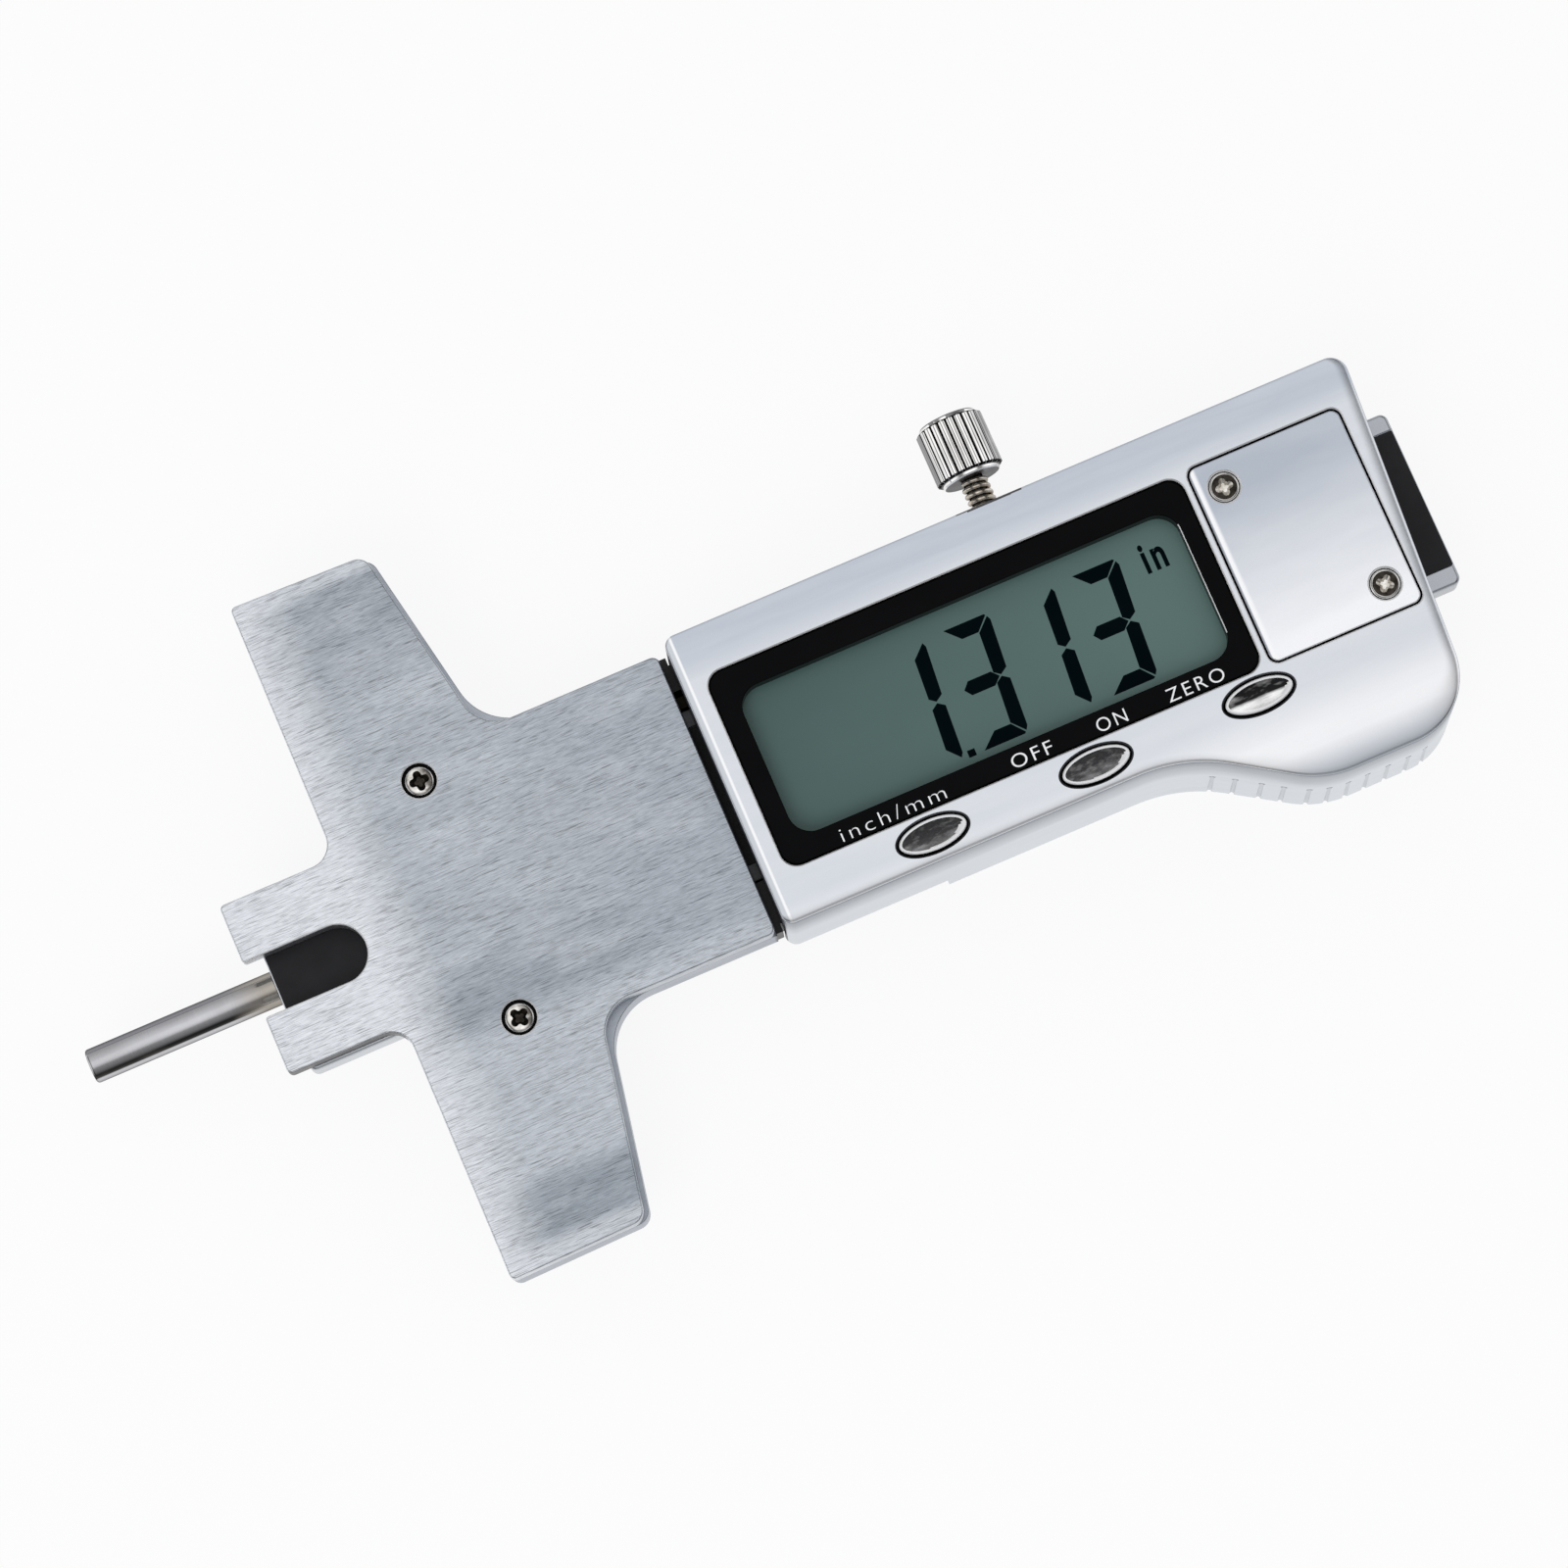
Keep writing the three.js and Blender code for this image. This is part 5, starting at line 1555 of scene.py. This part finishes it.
    def build(self, repeat: Repeat) -> None:
        """Builds the casting."""
        self.stands = self.flute_places()
        shell = self.skin()
        cavity = slab("cavity", self.outline(), -1.0, self.inside, inset=self.wall)
        carve(shell, [cavity, box("step", *self.step)])
        carve(shell, self.posts(), Work.JOIN)
        carve(shell, self.cutters(repeat))
        # Painted shade in the recesses, holes and flutes and on the end, painted highlights on the
        # chamfers, a painted reflection beside the knob, and walls painted darker towards the face.
        also = [
            (self.hidden, Finishes.SHADE), (self.fluted, Finishes.FLUTE), (self.rim, Finishes.HIGHLIGHT),
            (self.end_face, Finishes.END), (self.under_knob, Finishes.DARK),
            (self.outer, Finishes.WALL),
        ]
        nodes = ["housing"]
        dressed(shell, Body.CASE, Finishes.HOUSING, nodes, sharp=35, also=also)


@dataclass
class Back:
    """The rear cover and its four screws."""

    thickness: float = 1.4
    gap: float = 0.95
    edge: float = 0.12
    pad: Bore = Bore(1.9, 0.7, 2.55, 40)
    bore: Bore = Bore(0.77, 0.2, 4.0)
    sink: Profile = ((1.42, -1.0), (1.42, -0.02), (1.3, 0.1), (1.3, 0.72))
    screws: ScrewSet = ScrewSet(
        "rear_screws", tuple(f"rear_screw_{i}" for i in (1, 2, 3, 4)), "dark_steel",
        Screw(head=2.3, head_height=0.6, shank=1.3, length=9.6, reach=0.7),
        REAR_SCREWS, top=0.1, turn=0.7,
        # Painted shade in the recesses.
        finish=Finishes.DARK, recess=Finishes.RECESS, from_below=True,
    )

    def build(self, housing: Housing, repeat: Repeat) -> None:
        """Builds the cover and its screws."""
        outline = housing.outline()
        cover = slab(
            "rear_cover_satin", outline, 0.0, self.thickness, bottom_edge=self.edge, steps=4,
            inset=self.gap,
        )
        pads, bores = [], []
        for x, y in REAR_SCREWS:
            keep = slab("keep", outline, bottom=-1, top=4, inset=self.gap)
            pads.append(carve(self.pad.at((x, y, 0)), [keep], Work.KEEP))
            bores.append(turned("sink", self.sink, Axis.Z, (x, y, 0), segments=48))
            bores.append(self.bore.at((x, y, 0)))
        carve(cover, pads, Work.JOIN)
        carve(cover, bores)
        dressed(cover, Body.CASE, Finishes.REAR, ["rear_cover"])
        self.screws.build(repeat)


@dataclass
class Display:
    """The black window, the display behind it, its digits and the printed words."""

    left: float = 44.85
    right: float = 87.85
    half: float = 8.8
    open_left: float = 46.6
    open_right: float = 86.25
    open_top: float = 6.6
    open_bottom: float = -6.78
    glass_bottom: float = 9.5
    glass_top: float = 11.1
    bottom: float = 11.75
    top: float = 12.65
    corner: float = 1.4
    edge: float = 0.08
    mouth_corner: float = 2.0
    rim: Sides = (45.95, 86.75, -7.7, 7.7, 0.3)
    glass: Sides = (45.35, 87.35, -7.8, 7.8, 0.3)
    ink: float = 0.015
    point: Sides = (62.5, 63.16, -5.98, -5.36, 0.0)
    unit: Sides = (82.45, 84.45, 2.5, 5.0, 0.026)
    words: tuple[tuple[str, Sides], ...] = (
        ("inch/mm", (49.95, 59.35, -8.6, -7.42, -0.016)),
        ("OFF", (65.4, 69.05, -8.6, -7.44, -0.006)),
        ("ON", (73.12, 75.78, -8.6, -7.44, -0.006)),
        ("ZERO", (79.52, 84.65, -8.6, -7.44, -0.006)),
    )
    shown: str = "1313"
    digit_height: float = 10.7
    digit_width: float = 4.15
    stroke: float = 1.28
    pitch: float = 5.88
    first: float = 62.96
    middle: float = -0.57
    slant: float = 0.08

    def segments(self, digit: str) -> list[list[Flat]]:
        """The lit strokes of a digit, from its right-hand edge and its middle."""
        h, w, t = self.digit_height / 2, self.digit_width, self.stroke
        upper = [
            (-0.2, h - 0.24), (0.0, h - 0.62), (-0.05, 0.5), (-t / 2 - 0.04, 0.07),
            (-t + 0.03, 0.48), (-t, h - t - 0.06),
        ]
        crown = [
            (-w + 0.06, h), (-0.42, h), (-0.3, h - 0.12), (-t - 0.02, h - t + 0.04),
            (-w + t + 0.08, h - t + 0.04),
        ]
        bar = [
            (-w + 0.1, 0.0), (-w + 0.62, t / 2 - 0.02), (-t - 0.16, t / 2 - 0.02),
            (-t / 2 - 0.2, 0.0), (-t - 0.16, -t / 2 + 0.02), (-w + 0.62, -t / 2 + 0.02),
        ]
        flip = [[(x, -y) for x, y in stroke] for stroke in (crown, upper)]
        return {"1": [upper, flip[1]], "3": [crown, upper, bar, flip[1], flip[0]]}[digit]

    def digits(self) -> bpy.types.Object:
        """The digits, the point and the unit as thin dark shapes."""
        low, high = self.glass_top, self.glass_top + self.ink
        made = []
        for i, digit in enumerate(self.shown):
            edge = self.first + i * self.pitch
            for stroke in self.segments(digit):
                places = [(edge - 0.43 + x + y * self.slant, self.middle + y) for x, y in stroke]
                made.append(loft("stroke", [[(x, y, z) for x, y in places] for z in (low, high)]))
        made.append(slab("point", Outline.rectangle(*self.point), low, high))
        made.append(lettering("in", self.unit, low))
        return joined("display_digits", made)

    def lit(self, middle: Vector, normal: Vector) -> bool:
        """Tells the right-hand edge of the window's mouth, which gets a painted highlight."""
        right = self.open_right < middle.x < self.open_right + 0.2 and abs(middle.y) < 5
        return right and 0.3 < normal.z < 0.95

    def build(self) -> None:
        """Builds the window, the display, its digits and the words."""
        outline = Outline.rectangle(self.left, self.right, -self.half, self.half, self.corner)
        plate = slab("window_gloss", outline, self.bottom, self.top, self.edge)
        rim = slab("rim", Outline.rectangle(*self.rim), self.glass_top + 0.05, top=11.9)
        carve(plate, [rim], Work.JOIN)
        opening = Outline.rectangle(
            self.open_left, self.open_right, self.open_bottom, self.open_top, self.mouth_corner
        )
        edge = self.edge
        levels = ((0.0, 10.5), (0.0, self.top - edge), (-edge, self.top), (-edge, 13.5))
        carve(plate, [loft("mouth", levels_of(opening, levels))])
        also = [(self.lit, Finishes.HIGHLIGHT)]
        dressed(plate, Body.CASE, Finishes.BEZEL, ["display_window"], also=also)
        outline = Outline.rectangle(*self.glass)
        glass = slab(
            "display_glass", outline, self.glass_bottom, self.glass_top, self.edge, self.edge
        )
        dressed(glass, Body.CASE, Finishes.LCD, ["lcd_panel"])
        dressed(self.digits(), Body.CASE, Finishes.DIGIT)
        words = [lettering(text, sides, self.top) for text, sides in self.words]
        dressed(joined("window_words", words), Body.CASE, Finishes.INK)


@dataclass
class Buttons:
    """The three domed buttons."""

    length: float = 5.98
    width: float = 2.64
    top: float = 13.05
    rim: float = 12.88
    dome: float = 0.24
    dome_steps: int = 12
    flange: Block = ((-3.8, -12.25, 10.2), (3.8, -9.65, 10.9))
    stem: Bore = Bore(0.7, 9.6, 10.5)

    def build(self, housing: Housing) -> None:
        """Builds each button on its own body."""
        kinds = (
            # The first two buttons are painted with a dark reflection, the third with a bright one.
            ("unit_button", Body.UNIT, Finishes.BUTTON),
            ("power_button", Body.POWER, Finishes.BUTTON),
            ("zero_button", Body.ZERO, Finishes.BUTTON_LIT),
        )
        y = housing.button_y
        bottom = self.flange[0][2]
        for x, (name, body, finish) in zip(housing.buttons, kinds):
            outline = Outline.ellipse(x, y, self.length, self.width, steps=80)
            levels = ((0.0, bottom), (0.0, self.rim - 0.1), (0.08, self.rim), (0.2, self.rim))
            rings = levels_of(outline, levels)
            for k in range(self.dome_steps + 1):
                share = 1 - k / self.dome_steps
                height = self.rim + (self.top - self.rim) * (1 - share * share)
                rings.append([
                    (x + (px - x) * share, y + (py - y) * share, height)
                    for px, py in outline.inset(self.dome)
                ])
            crown = loft(f"{name}_chrome", rings)
            flange = box("flange", *shifted(self.flange, x))
            stem = self.stem.at((x, y, 0))
            carve(crown, [flange, stem], Work.JOIN)
            # Painted shade on the skirt, a painted highlight on the ring and a painted reflection
            # on the crescent.
            also = [
                (self.skirt, Finishes.SHADE), (self.ring, Finishes.HIGHLIGHT),
                (self.gleam(x, y), Finishes.HIGHLIGHT),
            ]
            dressed(crown, body, finish, [name], sharp=20, also=also)

    def ring(self, middle: Vector, normal: Vector) -> bool:
        """Tells the flat ring round the dome, which gets a painted highlight."""
        return middle.z < self.rim + 0.003

    def gleam(self, x: float, y: float) -> Test:
        """Tells the crescent at the lower right of a dome, which gets a painted bright reflection.
        """
        def inside(middle: Vector, normal: Vector) -> bool:
            u, v = (middle.x - x) / (self.length / 2), (middle.y - y) / (self.width / 2)
            return -0.25 < u and v < 0.05 and (u + 0.05) ** 2 + (v - 0.12) ** 2 > 0.76
        return inside

    def skirt(self, middle: Vector, normal: Vector) -> bool:
        """Tells the button's sides and flange, which the hole shades."""
        return middle.z < self.rim - 0.07


@dataclass
class BatteryCover:
    """The cover of the cell and its two screws."""

    left: float = 88.7
    right: float = 102.45
    half: float = 8.95
    bottom: float = 11.75
    top: float = 12.65
    corner: float = 0.8
    edge: float = 0.16
    bore: Bore = Bore(0.82, 11.0, 12.4)
    sink: Profile = ((1.34, 12.13), (1.34, 12.5), (1.5, 12.66), (1.5, 13.0))
    # Limits of the tests that tell the cover's faces apart
    dark_reach: float = 1.42
    dark_top: float = 12.46
    side_top: float = 12.58
    lip_reach: float = 1.49
    screws: ScrewSet = ScrewSet(
        "cover_screws", ("cover_screw_upper", "cover_screw_lower"), "screw_steel",
        Screw(head=2.56, head_height=0.5, shank=1.3, length=2.65, reach=0.8),
        COVER_SCREWS, top=12.65, turn=0.9,
        # A painted highlight in the recesses and a painted dark reflection on the faces.
        finish=Finishes.SCREW, recess=Finishes.LOBES, face=Finishes.RECESS,
    )

    def dark(self, middle: Vector, normal: Vector) -> bool:
        """Tells the cover's rim and the faces inside its counterbores, which get painted shade."""
        if nearest(middle, COVER_SCREWS) < self.dark_reach:
            return middle.z < self.dark_top
        return middle.z < self.side_top and abs(normal.z) < 0.8

    def lip(self, middle: Vector, normal: Vector) -> bool:
        """Tells the chamfers of the counterbores, which get a painted highlight."""
        return nearest(middle, COVER_SCREWS) < self.lip_reach and normal.z < 0.95

    def build(self, repeat: Repeat) -> None:
        """Builds the cover and its screws."""
        outline = Outline.rectangle(self.left, self.right, -self.half, self.half, self.corner)
        cover = slab("battery_cover_satin", outline, self.bottom, self.top, self.edge)
        bores = []
        for x, y in COVER_SCREWS:
            bores.append(turned("sink", self.sink, Axis.Z, (x, y, 0), segments=56))
            bores.append(self.bore.at((x, y, 0)))
        carve(cover, bores)
        also = [(self.dark, Finishes.SHADE), (self.lip, Finishes.HIGHLIGHT)]
        dressed(cover, Body.CASE, Finishes.COVER, ["battery_cover"], also=also)
        self.screws.build(repeat)


@dataclass
class LockScrew:
    """The knurled screw that clamps the beam."""

    tip: float = 9.37
    head: float = 16.9
    end: float = 22.5
    thread: float = 1.25
    pitch: float = 0.58
    knurl: float = 3.0
    knurl_end: float = 0.42
    collar: float = 2.6
    # Spans across the axis where the upper collar gets painted shade
    collar_dark: tuple[Flat, ...] = ((-1.7, -1.35), (-0.2, 1.6))
    teeth: int = 24
    tooth_share: float = 0.9
    tooth_height: float = 0.3
    tooth_edge: float = 0.16
    root_gap: float = 0.31
    wire: float = 0.23
    wire_out: float = 0.075

    def upright(self, piece: bpy.types.Object) -> bpy.types.Object:
        """Turns a shape made along Z about the origin onto the screw's axis."""
        turn = Matrix.Rotation(-math.pi / 2, 4, "X")
        place = Matrix.Translation(Vector(((LOCK_X + FEET) * MM, 0, LOCK_Z * MM)))
        piece.data.transform(place @ turn)
        return piece

    def tooth(self) -> bpy.types.Object:
        """One tooth of the knurl, with chamfered ends."""
        low, high = self.head + 0.35, self.end - 0.35
        half = math.pi * self.knurl / self.teeth * self.tooth_share
        edge = self.tooth_edge
        rings = []
        for z, grow in ((low, 0.05), (low + edge, 1.0), (high - edge, 1.0), (high, 0.05)):
            peak = self.tooth_height * (grow - 1) + 0.04 * (1 - grow)
            side = [(-0.5, 1.0), (-0.3, 1.0), (-0.14, 0.82), (-0.04, 0.5), (0.0, 0.15)]
            points = [(max(-0.3, peak + x) if x > -0.3 else x, -half * y) for x, y in side]
            points += [(x, -y) for x, y in reversed(points)]
            rings.append([(x - FEET, y, z) for x, y in points])
        return loft("tooth", rings)

    def valley(self, middle: Vector, normal: Vector) -> bool:
        """Tells the ground between the teeth of the knurl, which gets painted shade."""
        gap = self.knurl_end
        away = math.hypot(middle.x - LOCK_X, middle.z - LOCK_Z)
        return self.head + gap < middle.y < self.end - gap and away < self.knurl - 0.13

    def underside(self, middle: Vector, normal: Vector) -> bool:
        """Tells the face of the head towards the thread and parts of its upper collar, which get
        painted shade.
        """
        across = middle.x - LOCK_X
        dark = normal.y > 0.3 or any(a < across < b for a, b in self.collar_dark)
        return normal.y < -0.8 or middle.y > self.end - 0.37 and dark

    def groove(self, middle: Vector, normal: Vector) -> bool:
        """Tells the ground of the thread, which gets painted shade."""
        return math.hypot(middle.x - LOCK_X, middle.z - LOCK_Z) < self.thread - 0.29

    def build(self, repeat: Repeat, helix: Helix) -> None:
        """Builds the head with its knurl, and the thread."""
        c, e, h = self.collar, self.end, self.head
        profile = [
            (0.0, h), (c - 0.12, h), (c, h + 0.12), (c, h + 0.35), (self.knurl - 0.3, h + 0.4),
            (self.knurl - 0.3, e - 0.4), (c, e - 0.35), (c, e - 0.14), (c - 0.14, e),
            (c - 0.75, e), (c - 0.85, e - 0.1), (0.0, e - 0.1),
        ]
        core = turned("core", profile, Axis.Z, (-FEET, 0, 0), segments=96)
        angles = [2 * math.pi * i / self.teeth for i in range(self.teeth)]
        circle = [(self.knurl * math.cos(a), self.knurl * math.sin(a), 0.0) for a in angles]
        turn = 2 * math.pi / self.teeth
        teeth = repeat.lay("teeth", circle, self.tooth(), Finishes.KNOB, turn, 0.0)
        head = self.upright(joined("lock_knob", [core, teeth]))
        also = [(self.valley, Finishes.VALLEY), (self.underside, Finishes.COLLAR)]
        nodes, slot = ["lock_screw"], "knob_chrome"
        dressed(head, Body.LOCK, Finishes.KNOB, nodes, sharp=40, also=also)
        root = self.thread - self.root_gap
        shank = [(0.0, self.tip), (root, self.tip), (root, h + 0.1), (0.0, h + 0.1)]
        stud = turned("stud", shank, Axis.Z, (-FEET, 0, 0), segments=48)
        turns = (h - self.tip - 0.9) / self.pitch
        wound = helix.wind(
            "wound", turns, root + self.wire_out, turns * self.pitch, self.wire, Finishes.THREAD
        )
        wound.data.transform(Matrix.Translation((0, 0, (self.tip + 0.7) * MM)))
        thread = self.upright(joined("lock_thread", [stud, wound]))
        also = [(self.groove, Finishes.VALLEY)]
        dressed(thread, Body.LOCK, Finishes.THREAD, nodes, sharp=50, also=also)


@dataclass
class Inside:
    """The pieces held inside, which keep their CAD shape and get a finish."""

    nodes: dict[str, bpy.types.Object]

    def build(self) -> None:
        """Dresses each node that stays."""
        finishes = {
            Finishes.BRASS: ["gib_strip"],
            Finishes.DARK: ["gib_spring", "gib_screw_front", "gib_screw_rear", "stop_screw"],
            Finishes.RUBBER: ["lcd_connector_upper", "lcd_connector_lower", "keypad"],
            Finishes.BOARD: ["circuit_board"],
            Finishes.PLASTIC: ["controller_chip", "battery_tray"],
            Finishes.NICKEL: ["battery_contact_negative", "battery_contact_positive"],
            Finishes.CELL: ["coin_cell"],
        }
        for finish, names in finishes.items():
            for name in names:
                materials = self.nodes[name].data.materials
                materials.clear()
                materials.append(finish.material())
                LOG.info("%s keeps its shape, in %s", name, finish.name)


# ---------------------------------------------------------------------------------------------
# The studio


@dataclass
class Studio:
    """The pale floor, the soft light and the camera."""

    eye: Point = (-47.738, -85.365, 497.63)
    right: Point = (0.919125, -0.393029, -0.027137)
    up: Point = (0.391589, 0.903858, 0.172333)
    back: Point = (-0.043204, -0.169022, 0.984665)
    lens: float = 135.996
    sensor: float = 36.0
    white: float = 0.985
    light: Colour = (0.78, 0.785, 0.79)
    floor_tone: float = 0.9
    floor_glow: float = 0.9
    floor_side: float = 3.0
    floor_height: float = -0.0003
    key_place: Point = (-0.5, -0.45, 0.8)
    key_size: float = 0.6
    key_power: float = 3.0
    front_to_back: Profile = (
        (0.0, 0.5), (0.1, 0.42), (0.17, 0.32), (0.25, 0.36), (0.33, 0.78), (0.42, 1.05),
        (0.5, 1.1), (0.62, 1.1), (0.7, 0.95), (0.85, 0.78), (0.96, 0.6), (1.0, 0.55),
    )
    middle_to_side: Profile = (
        (0.0, 1.0), (0.3, 1.0), (0.42, 0.7), (0.53, 0.2), (0.7, 0.2), (0.85, 0.8), (1.0, 1.0),
    )

    def camera(self) -> None:
        """Sets the camera at the photograph's place."""
        data = bpy.data.cameras.new("camera")
        data.lens, data.sensor_width = self.lens, self.sensor
        camera = bpy.data.objects.new("camera", data)
        bpy.context.scene.collection.objects.link(camera)
        turn = Matrix((self.right, self.up, self.back)).transposed().to_4x4()
        camera.matrix_world = Matrix.Translation(Vector(self.eye) * MM) @ turn
        bpy.context.scene.camera = camera

    def seen(self, tree: Tree) -> Socket:
        """A share for camera, mirror and glass rays, and 0 for the rest."""
        path = tree.add("ShaderNodeLightPath").outputs
        total = path["Is Camera Ray"]
        for name in ("Is Glossy Ray", "Is Transmission Ray"):
            total = tree.result_of("MAXIMUM", total, path[name])
        return tree.result_of("MULTIPLY", total, self.floor_glow)

    def floor(self) -> None:
        """Lays the floor, white to the camera and still holding the gauge's shadow."""
        mesh = bpy.data.meshes.new("floor")
        side, low = self.floor_side, self.floor_height
        square = [(-side, -side, low), (side, -side, low), (side, side, low), (-side, side, low)]
        mesh.from_pydata(square, [], [(0, 1, 2, 3)])
        floor = object_of("floor", mesh)
        material = bpy.data.materials.new("pale_floor")
        material.use_nodes = True
        tree = Tree(material.node_tree)
        plain = tree.add("ShaderNodeBsdfDiffuse", grey(self.floor_tone)).outputs[0]
        white = tree.add("ShaderNodeEmission", grey(self.white)).outputs[0]
        mix = tree.add("ShaderNodeMixShader", self.seen(tree), plain, white)
        tree.add("ShaderNodeOutputMaterial", Surface=mix.outputs[0])
        mesh.materials.append(material)

    def ramp(self, tree: Tree, value: Socket, stops: Profile) -> Socket:
        """A grey tone that changes with a value, by places and tones."""
        made = tree.add("ShaderNodeValToRGB", value)
        band = made.color_ramp.elements
        for step in (0, -1):
            band[step].position, band[step].color = stops[step][0], grey(stops[step][1])
        for place, tone in stops[1:-1]:
            band.new(place).color = grey(tone)
        return made.outputs[0]

    def world(self) -> None:
        """A soft dome: white to the camera, and toned from front to back for polished metal."""
        world = bpy.data.worlds.new("studio")
        bpy.context.scene.world = world
        world.use_nodes = True
        tree = Tree(world.node_tree)
        way = tree.add("ShaderNodeTexCoord").outputs["Generated"]
        split = tree.add("ShaderNodeSeparateXYZ", way).outputs
        front = tree.add("ShaderNodeMapRange", split["Y"], From_Min=-1.0).outputs[0]
        side = tree.result_of("ABSOLUTE", split["X"])
        pairs = ((front, self.front_to_back), (side, self.middle_to_side))
        tones = [self.ramp(tree, value, stops) for value, stops in pairs]
        both = tree.add("ShaderNodeVectorMath", *tones, operation="MULTIPLY").outputs[0]
        mirror, light, white = (
            tree.add("ShaderNodeBackground", colour).outputs[0]
            for colour in (both, (*self.light, 1), grey(self.white))
        )
        path = tree.add("ShaderNodeLightPath").outputs
        first = tree.add("ShaderNodeMixShader", path["Is Glossy Ray"], light, mirror).outputs[0]
        last = tree.add("ShaderNodeMixShader", path["Is Camera Ray"], first, white).outputs[0]
        tree.add("ShaderNodeOutputWorld", Surface=last)

    def lamp(self, name: str, place: Point, size: float, power: float) -> None:
        """A square soft light that faces the gauge."""
        data = bpy.data.lights.new(name, "AREA")
        data.shape, data.size, data.energy = "SQUARE", size, power
        lamp = bpy.data.objects.new(name, data)
        bpy.context.scene.collection.objects.link(lamp)
        lamp.visible_glossy = False
        lamp.location = place
        lamp.rotation_euler = (-Vector(place)).to_track_quat("-Z", "Y").to_euler()

    def build(self) -> None:
        """Sets up the studio."""
        self.camera()
        self.floor()
        self.world()
        self.lamp("key_light", self.key_place, self.key_size, self.key_power)
        bpy.context.scene.view_settings.view_transform = "Standard"


def corners(box_of: tuple[Vector, Vector]) -> list[list[float]]:
    """The lowest and highest corner as plain lists."""
    return [list(box_of[0]), list(box_of[1])]


def main() -> None:
    """Builds the looks of the gauge in order."""
    logging.basicConfig(level=logging.INFO, format="%(message)s")
    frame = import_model()
    repeat, helix = Repeat(), Helix()
    housing = Housing()
    Studio().build()
    Base().build(repeat)
    Frame().build()
    Slide().build()
    housing.build(repeat)
    Back().build(housing, repeat)
    Display().build()
    Buttons().build(housing)
    BatteryCover().build(repeat)
    LockScrew().build(repeat, helix)
    Inside(frame["nodes"]).build()


if __name__ == "__main__":
    main()
